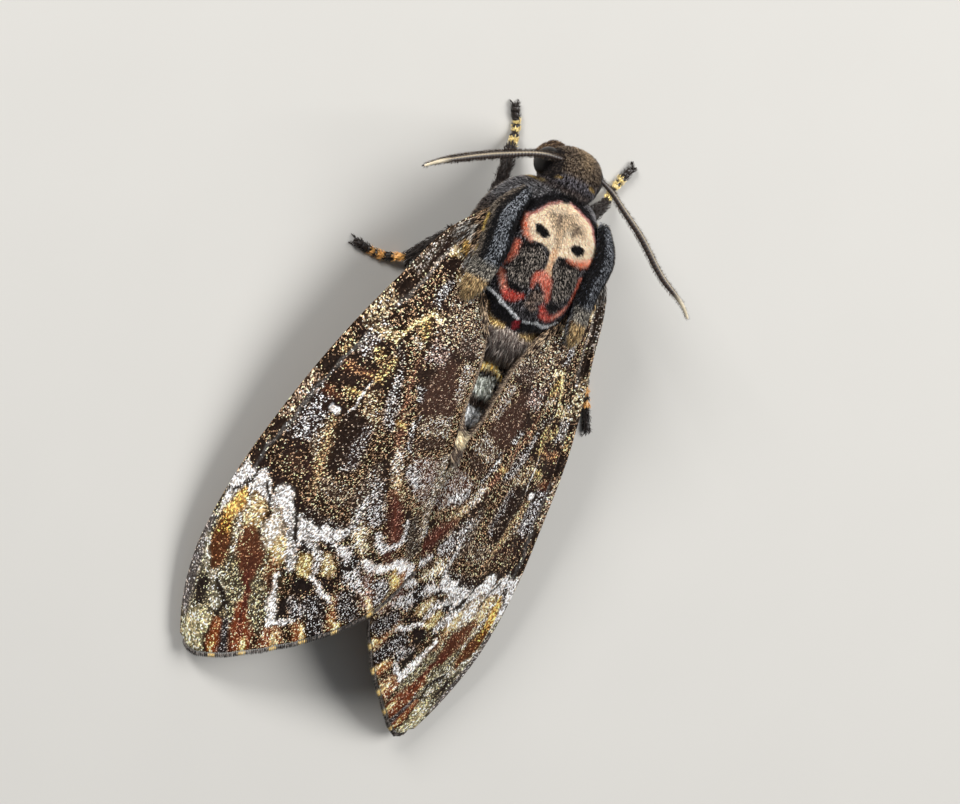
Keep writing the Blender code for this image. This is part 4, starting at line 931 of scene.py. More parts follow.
    ("#b68434", "#f8de92", 0.77, 0.35, ((0.925, 0.855, 0.35), (0.955, 0.868, 0.5), (0.98, 0.875, 0.45))),
    ("#74442a", "#e8b890", 0.46, 0.35, ((0.95, 0.905, 0.4), (0.99, 0.9, 0.6))),
    ("#30271f", "#b8ac9c", 0.22, 0.5, ((0.78, 0.895, 0.6), (0.85, 0.92, 0.8), (0.92, 0.95, 0.7))),
    ("#4f4237", "#dccfb8", 0.51, 0.5, ((0.6, 0.975, 0.6), (0.75, 0.97, 0.6), (0.88, 0.985, 0.6))),
    # the white zigzag: an arch round the head of every lobe
    *((*whiteArch, outline) for outline in zigzag),
    ("#504943", "#f6f5f2", 0.68, 0.4, ((0.755, 0.575, 0.55), (0.73, 0.58, 0.5), (0.7, 0.585, 0.4),
        (0.665, 0.592, 0.25))),
    ("#4f453e", "#f6f5f2", 0.77, 0.25, ((0.775, 0.39, 0.3), (0.79, 0.435, 0.3), (0.8, 0.475, 0.4),
        (0.82, 0.49, 0.35), (0.845, 0.498, 0.2))),
    ("#4f453e", "#f6f5f2", 0.77, 0.25, ((0.775, 0.5, 0.4), (0.788, 0.545, 0.35), (0.8, 0.585, 0.4),
        (0.815, 0.61, 0.3))),
    ("#7c766e", "#fdfcf8", 0.74, 0.3, ((0.7, 0.283, 0.3), (0.74, 0.322, 0.42), (0.785, 0.362, 0.45),
        (0.83, 0.385, 0.35))),
    ("#7c766e", "#fdfcf8", 0.7, 0.3, ((0.735, 0.365, 0.4), (0.765, 0.41, 0.5), (0.79, 0.455, 0.3))),
    # thin dark lines between the arches
    ("#2a211c", None, 0.02, 0.08, ((0.655, 0.082, 0.08), (0.672, 0.058, 0.12), (0.69, 0.038, 0.12),
        (0.715, 0.02, 0.08))),
    ("#2a211c", None, 0.02, 0.08, ((0.655, 0.13, 0.08), (0.67, 0.16, 0.12), (0.688, 0.182, 0.13),
        (0.71, 0.196, 0.08))),
    ("#2a211c", None, 0.02, 0.08, ((0.668, 0.262, 0.08), (0.698, 0.3, 0.12), (0.725, 0.326, 0.15),
        (0.755, 0.345, 0.14), (0.772, 0.362, 0.1))),
    ("#241b17", None, 0.05, 0.15, ((0.772, 0.398, 0.25), (0.786, 0.415, 0.3), (0.79, 0.435, 0.22))),
    ("#241b17", None, 0.05, 0.15, ((0.78, 0.505, 0.2), (0.795, 0.53, 0.22))),
    ("#ffffff", "#ffffff", 1, 0.12, ((0.486, 0.193, 0.28), (0.489, 0.213, 0.42), (0.491, 0.232, 0.25))),
)
undersideBase = ("#a67a3a", "#5a3c22", 0.22)
undersideMarks = (
    ("#8a6a3c", "#c8a060", 0.3, 2, ((0, 0), (0.3, 0), (0.3, 1), (0, 1))),
    ("#5a4028", "#3c2a1c", 0.3, 0.5, ((0.56, 0, 0.5), (0.57, 0.5, 0.6), (0.6, 1, 0.5))),
    ("#4e3624", "#3c2a1c", 0.3, 0.6, ((0.69, 0, 0.6), (0.71, 0.5, 0.7), (0.72, 1, 0.6))),
    ("#6a4a2c", "#c89c5c", 0.3, 1.2, ((0.86, 0, 1.5), (0.9, 0.5, 1.4), (0.88, 1, 1.5))),
    ("#3c2c22", None, 0.1, 0.4, ((0.97, 0, 0.4), (0.97, 1, 0.5))),
)
hindwingBase = ("#c08a2e", "#e6bc5a", 0.3)
hindwingMarks = (
    ("#2b2422", "#6a5038", 0.12, 1, ((0, 0), (0.3, 0), (0.34, 0.5), (0.3, 1), (0, 1))),
    ("#2f2623", "#7a5c38", 0.15, 0.5, ((0.55, 0, 1.6), (0.52, 0.5, 1.5), (0.5, 1, 1.4))),
    ("#2d2523", "#8a6a3c", 0.15, 0.6, ((0.86, 0, 1.9), (0.84, 0.5, 1.9), (0.82, 1, 1.9))),
    ("#c89030", "#ecc868", 0.4, 0.3, ((0.97, 0.2, 0.4), (1, 0.25, 0.6))),
    ("#c89030", "#ecc868", 0.4, 0.3, ((0.97, 0.5, 0.4), (1, 0.52, 0.6))),
    ("#c89030", "#ecc868", 0.4, 0.3, ((0.97, 0.75, 0.4), (1, 0.76, 0.6))),
)


def wingSpot(s, t, reach):  # a place of a wing's top on its map
    edge = wingMap["edge"]
    return np.stack([edge + wingMap["wide"] * t, edge + wingMap["long"] * s / reach], -1)


def wingRim(rows, columns):  # the strip that joins top and underside, with its map
    ring = np.concatenate([np.arange(columns), np.arange(1, rows) * columns + columns - 1,
                           (rows - 1) * columns + np.arange(columns - 2, -1, -1),
                           np.arange(rows - 2, 0, -1) * columns])
    after, count, many = np.roll(ring, -1), rows * columns, len(ring)
    faces = np.concatenate([np.stack([ring, after, after + count], 1),
                            np.stack([ring, after + count, ring + count], 1)])
    near, far = wingMap["rim"]
    runs = np.arange(many)[:, None] / many
    halves = (((near, near, far), (0.0, 1.0, 1.0)), ((near, far, far), (0.0, 1.0, 0.0)))
    uv = []
    for u, v in halves:
        down = wingMap["edge"] + wingMap["long"] * (runs + np.array(v) / many)
        uv.append(np.stack([np.broadcast_to(u, (many, 3)), down], -1))
    return faces, np.concatenate(uv)


def buildWing(name, wing, side, lift, base, marks, node, material):
    rows, columns = wing["grid"]
    reach = 1 - wing["fringe"] / wing["length"]
    s, t = np.meshgrid(np.linspace(0, reach, rows), np.linspace(0, 1, columns), indexing="ij")
    middle = wingMiddle(wing, s, t, lift)
    alongS, alongT = np.gradient(middle, axis=0), np.gradient(middle, axis=1)
    normal = unit(np.cross(alongT, alongS))
    normal *= np.sign(normal[..., 2:3])
    chord = np.linalg.norm(alongT, axis=-1).sum(1, keepdims=True)
    veins, dip = wingRelief(wing, s, t, chord)
    rim = np.minimum(np.minimum(t, 1 - t) * chord, (reach - s) * wing["length"])
    thick = membrane["edge"] + (membrane["thick"] - membrane["edge"]) * smooth(0.0, membrane["edgeEase"], rim)
    front = np.exp(-((t * chord - membrane["costaAt"]) / membrane["costaAt"]) ** 2)
    thick = thick + membrane["costa"] * front * smooth(*membrane["costaEnd"], s)
    cell, height = membrane["grain"]
    grain = (softNoise(middle, cell, 7) - 0.5) * height
    top = middle + normal * (thick / 2 + veins + dip + grain)[..., None]
    under = middle + normal * (-thick / 2 - veins * membrane["veinBelow"] + dip)[..., None]
    points = np.concatenate([top.reshape(-1, 3), under.reshape(-1, 3)])
    count = rows * columns
    grid = gridFaces(rows, columns)
    rimFaces, rimUv = wingRim(rows, columns)
    faces = np.concatenate([grid[:, ::-1], grid + count, rimFaces])
    points[:, 0] *= side
    spots = wingSpot(s.ravel(), t.ravel(), reach)
    pointUv = np.concatenate([spots, spots + (wingMap["under"], 0.0)])
    loopUv = np.concatenate([pointUv[faces[:len(grid) * 2]], rimUv])
    if side < 0:
        faces, loopUv = faces[:, ::-1], loopUv[:, ::-1]
    units = (wing["length"], wing["chord"])
    (above, below), (aboveSeed, belowSeed) = wingPaint["ragged"], wingPaint["seeds"]
    upper = paint(s.ravel(), t.ravel(), base, marks, above, aboveSeed, units)
    lower = paint(s.ravel(), t.ravel(), undersideBase, undersideMarks, below, belowSeed, units)
    flat = np.stack([(t * chord).ravel(), (s * wing["length"]).ravel(), np.zeros(count)], 1)
    labels = ("ground", "fleck", "share")
    data = {label: np.concatenate(pair) for label, pair in zip(labels, zip(upper, lower))}
    data["scaleAt"] = np.concatenate([flat, flat + wingPaint["below"]])
    makePiece(name, points, faces, material, (node,), data, loopUv)
    return {"top": top * (side, 1, 1), "normal": normal * (side, 1, 1), "reach": reach,
            "hues": [values.reshape(rows, columns, -1) for values in upper]}


wingSides = {}
for sideName, side in sides.items():
    wingSides[sideName] = buildWing(
        "forewing" + sideName.title(), forewing, side, side, forewingBase, forewingMarks,
        "forewing_" + sideName, materials["forewing"])
    buildWing("hindwing" + sideName.title(), hindwing, side, 0.0, hindwingBase, hindwingMarks,
              "hindwing_" + sideName, materials["hindwing"])
print("wings ready")

# Body: one skin under a coat of fine hair

eggs = {
    "thorax": {"front": -9.8, "rear": 9.1, "halfWidth": 8.4, "top": 15.3, "middle": 9.0, "bottom": 2.6,
               "blunt": (0.74, 0.6), "square": 2.3, "inset": 0.75},
    "head": {"front": -14.4, "rear": -7.0, "halfWidth": 4.1, "top": 14.3, "middle": 10.6, "bottom": 6.6,
             "blunt": (0.8, 0.85), "square": 2.2, "inset": 0.75},
    "waist": {"front": 4.0, "rear": 13.0, "halfWidth": 6.7, "top": 12.4, "middle": 8.6, "bottom": 5.2,
              "blunt": (0.8, 0.8), "square": 2.2, "inset": 0.3},
}
abdomen = {"front": 6.5, "rear": 36.5, "halfWidth": 6.6, "rise": 4.6, "drop": 5.3, "middle": 7.0, "sag": 1.2,
           "rings": 8, "swell": 0.035, "inset": 0.35}
skin = {
    "ends": (0.003, 0.997), "voxel": 0.33, "smoothing": 6,
    "axis": 9.0, "front": -15.2, "length": 52.4,  # unrolled round this height
    "edge": 0.005, "wide": 0.97, "long": 0.99,  # its place on the map
    "coatShadeDarkening": 0.8,  # painted shade: the skin's colour is darkened as if in the shadow of the hair over it
}


def eggShape(egg, rings=90, around=96):
    share = np.linspace(*skin["ends"], rings)[:, None]
    angle = np.linspace(0, 2 * np.pi, around, endpoint=False)[None]
    power, inset = 2 / egg["square"], egg["inset"]
    across = np.sin(np.pi * share) ** egg["blunt"][0]
    upwards = np.sin(np.pi * share) ** egg["blunt"][1]
    y = egg["front"] + inset + (egg["rear"] - egg["front"] - 2 * inset) * (1 - np.cos(np.pi * share)) / 2
    half = np.where(np.sin(angle) > 0, egg["top"] - egg["middle"], egg["middle"] - egg["bottom"]) - inset
    x = (egg["halfWidth"] - inset) * across * np.sign(np.cos(angle)) * np.abs(np.cos(angle)) ** power
    z = egg["middle"] + half * upwards * np.sign(np.sin(angle)) * np.abs(np.sin(angle)) ** power
    return closedTube(np.stack(np.broadcast_arrays(x, y, z), -1))


def abdomenShape(rings=160, around=90):
    share = np.linspace(*skin["ends"], rings)[:, None]
    angle = np.linspace(0, 2 * np.pi, around, endpoint=False)[None]
    ring = (share * abdomen["rings"]) % 1
    fullness = np.sin(np.pi * share ** 0.75) ** 0.6 * (1 + abdomen["swell"] * (ring - 0.5) * 1.5)
    y = abdomen["front"] + (abdomen["rear"] - abdomen["front"] - abdomen["inset"]) * share
    half = np.where(np.sin(angle) > 0, abdomen["rise"], abdomen["drop"]) - abdomen["inset"]
    x = (abdomen["halfWidth"] - abdomen["inset"]) * fullness * np.cos(angle)
    z = abdomen["middle"] - abdomen["sag"] * share**2 + half * fullness * np.sin(angle)
    return closedTube(np.stack(np.broadcast_arrays(x, y, z), -1))


def fusedSkin(shapes):  # one seamless surface round several closed ones
    points, faces = joinShapes([(p, f, {}) for p, f in shapes])[:2]
    mesh = bpy.data.meshes.new("skinDraft")
    mesh.from_pydata(points.tolist(), [], faces.tolist())
    draft = bpy.data.objects.new("skinDraft", mesh)
    bpy.context.scene.collection.objects.link(draft)
    remesh = draft.modifiers.new("fuse", "REMESH")
    remesh.mode, remesh.voxel_size = "VOXEL", skin["voxel"]
    iron = draft.modifiers.new("iron", "SMOOTH")
    iron.factor, iron.iterations = 0.5, skin["smoothing"]
    made = draft.evaluated_get(bpy.context.evaluated_depsgraph_get()).to_mesh()
    made.calc_loop_triangles()
    points = np.empty(len(made.vertices) * 3, np.float32)
    made.vertices.foreach_get("co", points)
    faces = np.empty(len(made.loop_triangles) * 3, np.int32)
    made.loop_triangles.foreach_get("vertices", faces)
    bpy.data.objects.remove(draft)
    return points.reshape(-1, 3).astype(float), faces.reshape(-1, 3)


def bodySpot(points):  # the skin unrolled: angle round the body, then length
    u = np.arctan2(points[..., 0], points[..., 2] - skin["axis"]) / (2 * np.pi) + 0.5
    v = (points[..., 1] - skin["front"]) / skin["length"]
    return np.stack([skin["edge"] + skin["wide"] * u, skin["edge"] + skin["long"] * v], -1)


# The back as seen from above: marks as on the wings, in millimetres
backBase = ("#171213", "#8c8688", 0.24)
backMarks = (
    # collar, joined to the bands of both shoulder flaps
    ("#1a1718", "#9e9b9c", 0.46, 0.4, ((-6.6, -10.2), (6.6, -10.2), (7.4, -5), (5.4, -5.4), (2.6, -8),
        (-2.4, -8.6), (-5.6, -6.2), (-7.4, -5))),
    ("#2c2320", "#8a7668", 0.34, 0.5, ((-6.6, -10.4), (6.6, -10.4), (6, -8.6), (-6, -8.8))),
    ("#2c2320", "#7f6d5a", 0.28, 0.5, ((8.4, -7, 1), (8.6, -2, 1), (8.4, 6, 1))),
    ("#2c2320", "#7f6d5a", 0.28, 0.5, ((-8.4, -7, 1), (-8.6, -2, 1), (-8.4, 6, 1))),
    ("#9a7c34", "#dcc070", 0.55, 0.15, ((3.9, -8.95, 0.16), (3.4, -8.9, 0.2))),
    ("#9a7c34", "#dcc070", 0.5, 0.15, ((-5.4, -7, 0.16), (-6.2, -6.2, 0.18), (-6.9, -5.4, 0.16))),
    ("#0e0b0c", "#4a4850", 0.05, 0.22, ((5.5, -4.6, 0.5), (4.4, -6, 0.45), (3.1, -7.1, 0.4),
        (1.3, -7.95, 0.4), (-0.2, -8.25, 0.4), (-1.9, -7.85, 0.4), (-3.4, -7.2, 0.4), (-4.7, -6.3, 0.4),
        (-5.9, -5.2, 0.4))),
    ("#0f0c0d", "#6a6670", 0.06, 0.25, ((5.5, -4.6, 0.55), (5.7, -2, 0.5), (5.75, 1, 0.45), (5.9, 3, 0.3))),
    ("#0f0c0d", "#6a6670", 0.06, 0.25, ((-5.8, -1.6, 0.45), (-5.75, 1, 0.4), (-5.9, 3, 0.3))),
    # cheeks, black under an olive-grey dust
    ("#16110f", "#b0a498", 0.33, 0.25, ((4.6, -0.9), (3.6, -1.6), (1.75, -1.75), (0.95, -0.9), (0.85, 0.6),
        (1.6, 1.9), (1.5, 3), (2.2, 3.3), (3.4, 3.2), (4.6, 2.4), (4.65, 0.3))),
    ("#16110f", "#b0a498", 0.33, 0.25, ((-0.4, -1.1), (-1.9, -1.2), (-4.2, -1.1), (-4.6, 0), (-4.6, 1.8),
        (-3.4, 3.3), (-2.4, 3.2), (-1.3, 1.9), (-0.6, 0.8))),
    ("#0f0a0a", "#6a5c54", 0.06, 0.22, ((3.4, 3.7, 0.5), (2.2, 3.9, 0.35))),
    ("#0f0a0a", "#6a5c54", 0.06, 0.22, ((-2.6, 4, 0.55), (-3.6, 3.9, 0.4))),
    ("#110c0b", "#6a5c54", 0.1, 0.25, ((3.9, -1.2, 0.4), (2.6, -1.55, 0.35))),
    ("#110c0b", "#6a5c54", 0.1, 0.25, ((-1.2, -1.2, 0.3), (-3, -1, 0.35))),
    ("#231612", "#b49c8c", 0.46, 0.25, ((-0.9, 3.6, 0.5), (0, 3.6, 0.8), (0.3, 4.6, 0.6), (-0.6, 5, 0.5))),
    # bars down both sides
    ("#c05a42", "#ec9478", 0.5, 0.35, ((4.75, -1.1, 0.35), (4.85, 0, 0.48), (4.95, 0.9, 0.4),
        (5.1, 1.7, 0.12))),
    ("#cc6a50", "#f2aa90", 0.52, 0.3, ((6.3, 3.6, 0.3), (5.45, 2.5, 0.42), (4.8, 2.9, 0.38),
        (4.2, 3.7, 0.34), (3.5, 4.5, 0.22))),
    ("#bc4a34", "#e88a6c", 0.5, 0.25, ((-5, -0.3, 0.25), (-5.05, 1.2, 0.3), (-5.1, 2.7, 0.25))),
    # cranium
    ("#f6e0c0", "#fff0d8", 0.4, 0.16, ((1.26, -7.34), (2.82, -6.42), (3.5, -5.5), (4.15, -4.85),
        (4.6, -4.25), (4.5, -3.06), (4.05, -2.15), (3.47, -1.99), (2.33, -2.24), (1.39, -2.17),
        (0.78, -1.72), (0.51, -0.63), (0.42, 0.69), (0.4, 1.3), (-0.7, 1.1), (-0.27, -0.23), (-0.46, -1.5),
        (-1.46, -1.78), (-2.59, -1.66), (-3.9, -1.6), (-5.4, -2.2), (-6.1, -3.3), (-5.83, -4.5),
        (-4.98, -5.2), (-3.92, -6.23), (-3.01, -6.84), (-1.59, -7.24), (-0.06, -7.67))),
    ("#dcc4a4", "#7c6a58", 0.36, 0.6, ((2.1, -5.6, 0.5), (1, -5.3, 0.9), (-0.6, -5.8, 0.9),
        (-2.6, -5.2, 0.55))),
    ("#e2c8a6", "#8a7662", 0.26, 0.5, ((0.5, -5, 0.7), (0.3, -3.4, 0.5), (0.1, -2.3, 0.3))),
    ("#a08c76", "#6f5f50", 0.34, 0.3, ((1, -5.7, 0.35), (0.9, -5, 0.3))),
    ("#a08c76", "#6f5f50", 0.34, 0.3, ((-1.7, -5.3, 0.4), (-1.5, -4.5, 0.3))),
    ("#e8744e", "#f8b898", 0.5, 0.4, ((4.75, -4.5, 0.1), (4.7, -3.5, 0.3), (4.25, -2.45, 0.3),
        (3.4, -2, 0.1))),
    ("#e89484", "#f8c8bc", 0.5, 0.25, ((1.2, -7.45, 0.05), (2.9, -6.5, 0.08), (3.7, -5.5, 0.08),
        (4.7, -4.5, 0.1))),
    ("#e48478", "#f8c4bc", 0.5, 0.25, ((-0.1, -7.7, 0.05), (-1.7, -7.3, 0.08), (-3.2, -6.85, 0.1),
        (-4.2, -6.15, 0.1), (-5.2, -5.15, 0.1), (-6, -4.45, 0.12))),
    ("#e4683e", "#f8b08c", 0.45, 0.4, ((-1.9, -1.68, 0.1), (-2.9, -1.65, 0.2), (-4.1, -1.8, 0.35),
        (-5.4, -2.4, 0.4), (-6.1, -3.4, 0.3))),
    ("#0c0809", "#241c1c", 0.04, 0.12, ((3.6, -3.95), (3, -4.28), (2.05, -3.9), (1.45, -3.38),
        (2.25, -2.92), (2.86, -3.1), (3.52, -3.22))),
    ("#0c0809", "#241c1c", 0.04, 0.12, ((-1.62, -3.4), (-2.6, -3.84), (-3.75, -3.66), (-3.9, -2.98),
        (-3.1, -2.44), (-2.2, -2.56), (-1.55, -2.9))),
    # nose, then the red jaw
    ("#eab88c", "#f8dcb8", 0.45, 0.25, ((0.15, -1.7, 0.45), (0.12, -0.4, 0.36), (-0.1, 0.7, 0.5))),
    ("#dc7860", "#f4b09a", 0.5, 0.35, ((0.9, 1.5, 0.45), (0.2, 1.3, 0.75), (-0.6, 1.8, 0.65))),
    ("#d0604a", "#ee9c84", 0.48, 0.3, ((0.9, 1.4, 0.35), (1.15, 2, 0.32), (1, 2.7, 0.15))),
    ("#d0604a", "#ee9c84", 0.48, 0.35, ((-0.5, 1.7, 0.55), (-1, 2.4, 0.5), (-1.5, 3.1, 0.36),
        (-1.8, 3.6, 0.15))),
    ("#c63e32", "#ee8474", 0.42, 0.3, ((3.5, 4.5, 0.3), (2.9, 4.8, 0.55), (2.2, 4.7, 0.5),
        (1.5, 4.2, 0.25))),
    ("#c63e32", "#ee8474", 0.42, 0.3, ((-1.5, 4.4, 0.3), (-2.2, 5.1, 0.5), (-3.1, 5.3, 0.5),
        (-3.9, 5.1, 0.35))),
    ("#dc7660", "#f4b09a", 0.5, 0.25, ((-3.9, 5, 0.32), (-4.7, 4.1, 0.35), (-5, 3.2, 0.2))),
    # black rim behind it with its white line
    ("#0e0a0c", "#3a3640", 0.05, 0.2, ((-8, 5, 0.6), (-6.2, 5.7, 0.75), (-4.2, 6.85, 0.75), (-2.4, 7, 0.75),
        (-0.2, 7.5, 0.6), (1.3, 7, 0.75), (2.9, 6.55, 0.75), (4.3, 5.85, 0.65), (5.6, 5.3, 0.5))),
    ("#ffffff", "#ffffff", 1, 0.03, ((5.3, 4.85, 0.13), (4.6, 5, 0.14), (3.8, 5.3, 0.16), (3.2, 5.65, 0.2),
        (2.6, 6, 0.16), (2.1, 6.05, 0.14), (1.1, 6.4, 0.18), (0.15, 6.8, 0.14))),
    ("#ffffff", "#ffffff", 1, 0.03, ((-0.6, 6.82, 0.15), (-1.5, 6.6, 0.14), (-2.3, 6.4, 0.17),
        (-3.2, 6.5, 0.19), (-4, 6.25, 0.19), (-5, 5.6, 0.18), (-6.1, 5.05, 0.16))),
    ("#82726a", "#d2c4b6", 0.5, 0.3, ((-5.6, 8.3), (5.6, 8.3), (5.6, 12.6), (-5.6, 12.6))),
    ("#9a1c26", "#d84a50", 0.4, 0.2, ((0, 7.3, 0.4), (-0.3, 7.75, 0.4))),
    ("#96703a", "#ecd08c", 0.62, 0.3, ((5.6, 6.2, 0.5), (4.6, 7, 0.55), (3.6, 7.9, 0.6), (2.4, 8.3, 0.5),
        (1.1, 8.2, 0.35))),
    ("#6a5030", "#d8ba80", 0.5, 0.4, ((-1.8, 8.5, 0.4), (-3.4, 8.2, 0.6), (-5.2, 7.5, 0.6))),
)
headBase = ("#281e18", "#98846e", 0.36)
headMarks = (
    ("#1c1718", "#948e94", 0.38, 0.5, ((-5, -10.6), (5, -10.6), (5, -6), (-5, -6))),
    ("#443528", "#a89274", 0.5, 0.6, ((0, -14.2, 1.2), (0, -13, 1))),
    ("#8a6c34", "#c8a860", 0.5, 0.15, ((-1.2, -10.4, 0.18), (-2.2, -10.2, 0.16))),
    ("#8a6c34", "#c8a860", 0.5, 0.15, ((2.4, -10, 0.16), (3, -9.8, 0.16))),
    ("#1d1716", "#5c5048", 0.12, 0.3, ((3.2, -13.2, 0.5), (3.4, -10, 0.6))),
    ("#1d1716", "#5c5048", 0.12, 0.3, ((-3.2, -13.2, 0.5), (-3.4, -10, 0.6))),
)
# The abdomen unrolled: distance round from the top of the back, then along
abdomenBase = ("#2c2320", "#86745a", 0.25)
abdomenMarks = [("#6c5d56", "#b4a79c", 0.42, 0.8, ((-6, 8), (6, 8), (5, 12.6), (-5, 12.6)))]
ringLength = (abdomen["rear"] - abdomen["front"]) / abdomen["rings"]
for n in range(abdomen["rings"]):
    start = abdomen["front"] + ringLength * n
    end = start + ringLength
    if n > 1:
        patch = ("#d6dacc", "#f6f8ee", 0.6) if n == 2 else ("#fafcfa", "#ffffff", 0.9)
        low, high = start + 0.2, start + 2.7
        abdomenMarks.append((*patch, 0.35, ((-2.6, low), (2.6, low), (2.4, high), (-2.4, high))))
        abdomenMarks += [("#b08a2c", "#e2c05c", 0.5, 0.5, (
            (side * 4.2, start + 0.4), (side * 9.6, start + 0.4), (side * 9.6, start + 2.3),
            (side * 4, start + 2))) for side in (1, -1)]
    abdomenMarks += [("#b48c38", "#dcc078", 0.45, 0.8, (
        (side * 10.5, start), (side * 20, start), (side * 20, end), (side * 10.5, end))) for side in (1, -1)]
    if n > 1:
        seam = start + 3.2
        abdomenMarks.append(("#3c2d24", "#7a6a5a", 0.18, 0.35, ((-20, seam, 0.55), (20, seam, 0.55))))
abdomenMarks.append(("#f4c55e", "#ffeeb4", 0.75, 0.2, (
    (0.9, 13.3, 0.34), (-0.4, 12.8, 0.42), (-1.9, 12.9, 0.4), (-3, 13.9, 0.3))))
bodyPaint = {
    "seed": 41, "ragged": {"back": 0.2, "head": 0.3, "abdomen": 0.35},
    "axis": 6.6, "radius": 5.6,  # the abdomen is unrolled round this height
    "belly": ("#3b2c20", "#97794a", 0.35),
    "neck": (-8.6, -9.8), "waist": (8.6, 9.4), "underneath": (7.6, 5.2),  # where one gives way to the next
}


def bodyColours(points):  # ground, fleck and share of flecks anywhere on the body
    x, y, z = points[:, 0], points[:, 1], points[:, 2]
    seed, ragged = bodyPaint["seed"], bodyPaint["ragged"]
    reach = np.arctan2(x, z - bodyPaint["axis"]) * bodyPaint["radius"]
    head = paint(x, y, headBase, headMarks, ragged["head"], seed)
    rear = paint(reach, y, abdomenBase, abdomenMarks, ragged["abdomen"], seed)
    below = evenColours(*bodyPaint["belly"])(points)
    waist = smooth(*bodyPaint["waist"], y)
    underneath = smooth(*bodyPaint["underneath"], z) * smooth(*bodyPaint["waist"][::-1], y)
    mixed = list(paint(x, y, backBase, backMarks, ragged["back"], seed))
    for other, cover in ((head, smooth(*bodyPaint["neck"], y)), (rear, waist), (below, underneath)):
        for n in range(3):
            spread = cover[:, None] if n < 2 else cover
            mixed[n] = mixed[n] * (1 - spread) + other[n] * spread
    return mixed


# painted shade: the skin under a coat is given a darker colour that stands in for the coat's shadow
def skinTintInPaintedShade(ground, fleck, share):
    return (ground * (1 - share[:, None]) + fleck * share[:, None]) * skin["coatShadeDarkening"]


bodyPoints, bodyFaces = fusedSkin([*(eggShape(egg) for egg in eggs.values()), abdomenShape()])
makePiece("bodySkin", bodyPoints, bodyFaces, materials["underSkin"],
          ("thorax", "head", "abdomen"), {"tint": skinTintInPaintedShade(*bodyColours(bodyPoints))},
          closeSeam(bodySpot(bodyPoints)[bodyFaces], skin["wide"], skin["edge"]))

bodyCoats = {  # long hair behind the thorax hides the waist
    "thoraxCoat": {"count": 86000, "length": 0.7, "width": 0.11, "rise": 60, "rest": 38, "stray": 0.3,
                   "spread": 0.4, "rootTone": 0.4, "tipTone": 1.25, "readAt": 0.75, "from": -9.2, "to": 9.2,
                   "long": (7.4, 9.0), "seed": 158, "material": "plush", "slot": "brown_fur"},
    "headCoat": {"count": 22000, "length": 0.66, "width": 0.105, "rise": 54, "rest": 32, "stray": 0.35,
                 "spread": 0.4, "rootTone": 0.4, "tipTone": 1.2, "readAt": 0.7, "from": -15.0, "to": -9.0,
                 "seed": 178, "material": "plush", "slot": "brown_fur"},
    "abdomenCoat": {"count": 26000, "length": 1.0, "width": 0.2, "rise": 20, "rest": 5, "stray": 0.15,
                    "spread": 0.3, "rootTone": 0.6, "tipTone": 1.15, "from": 8.8, "to": 37.0,
                    "long": (11.5, 9.5), "seed": 104, "material": "scaleHair", "slot": "abdomen_scales"},
}
bodyHair = {"least": 0.35, "thinner": (-0.4, 0.3), "outward": 0.05, "longer": 1.7}  # sparser underneath


def coatBody(name, look):
    def weigh(middle, normal):
        within = (middle[:, 1] > look["from"]) & (middle[:, 1] < look["to"])
        least = bodyHair["least"]
        return within * (least + (1 - least) * smooth(*bodyHair["thinner"], normal[:, 2]))

    roots, normals, draw = scatter(bodyPoints, bodyFaces, look["count"], look["seed"], weigh)
    flow = np.stack([roots[:, 0] * bodyHair["outward"], np.ones(len(roots)), np.zeros(len(roots))], 1)
    rear = smooth(*look["long"], roots[:, 1]) if "long" in look else 0.0
    grown = {**look, "scale": 1.0 + bodyHair["longer"] * rear, "lay": rear}
    growCoat(name, roots, normals, draw, flow, grown, bodyColours, bodySpot(roots),
             materials[look["material"]])


for name, look in bodyCoats.items():
    coatBody(name, look)
print("body ready")

# Shoulder flaps

tegula = {
    "path": ((5.6, -7.3, 12.7), (7.25, -4.0, 13.15), (6.95, 0.6, 13.45), (7.15, 3.2, 13.5), (7.5, 6.0, 13.4)),
    "length": 13.3, "around": 1.35,  # its markings are drawn in this plane
    "wide": 1.5, "high": 0.75, "tilt": 38.0, "blunt": 0.45, "ends": (0.004, 0.996), "grid": (60, 36),
    "coat": {"count": 18000, "length": 0.62, "width": 0.105, "rise": 58, "rest": 34, "stray": 0.25,
             "spread": 0.45, "rootTone": 0.4, "tipTone": 1.25, "readAt": 0.7},
    "long": (3.0, 5.6), "laid": (3.2, 5.6), "longer": 1.6, "outward": 0.08,  # hair lengthens towards the rear
    "ragged": 0.15, "seed": 61,
}
tegulaBaseWithShadedRight = {1.0: ("#17181c", "#a4a8ae", 0.40), -1.0: ("#151519", "#999ca2", 0.33)}  # left, then right; the right one is darker with fewer flecks: painted shade on the side turned from the lights
tegulaMarks = (  # distance round from the crest, then along
    ("#2c2520", "#9c8e7e", 0.42, 0.25, ((0.75, -1), (4.4, -1), (4.4, 14), (0.75, 14))),
    ("#0f0d0e", "#4a4c56", 0.06, 0.25, ((-2.2, 0, 0.6), (-2.1, 10, 0.6), (-1.9, 11.6, 0.4))),
    ("#110e0f", "#5a5450", 0.06, 0.2, ((0.5, 0.2, 0.3), (0.65, 5, 0.38), (0.8, 9.8, 0.38))),
    ("#8a6c24", "#e6c468", 0.6, 0.2, ((1.75, 4.6, 0.22), (1.85, 6.4, 0.25))),
    ("#8a6c24", "#e6c468", 0.55, 0.2, ((2.2, 8.3, 0.2), (2.25, 9.6, 0.25))),
    ("#3a3632", "#b4ac9e", 0.5, 0.5, ((-2.4, 9.9), (4.4, 9.4), (4.4, 12), (-2.4, 12))),
    ("#6e5234", "#dcbc88", 0.58, 0.4, ((-2.4, 11.8), (4.4, 11.6), (4.4, 15), (-2.4, 15))),
)
tegulaTilt = math.radians(tegula["tilt"])


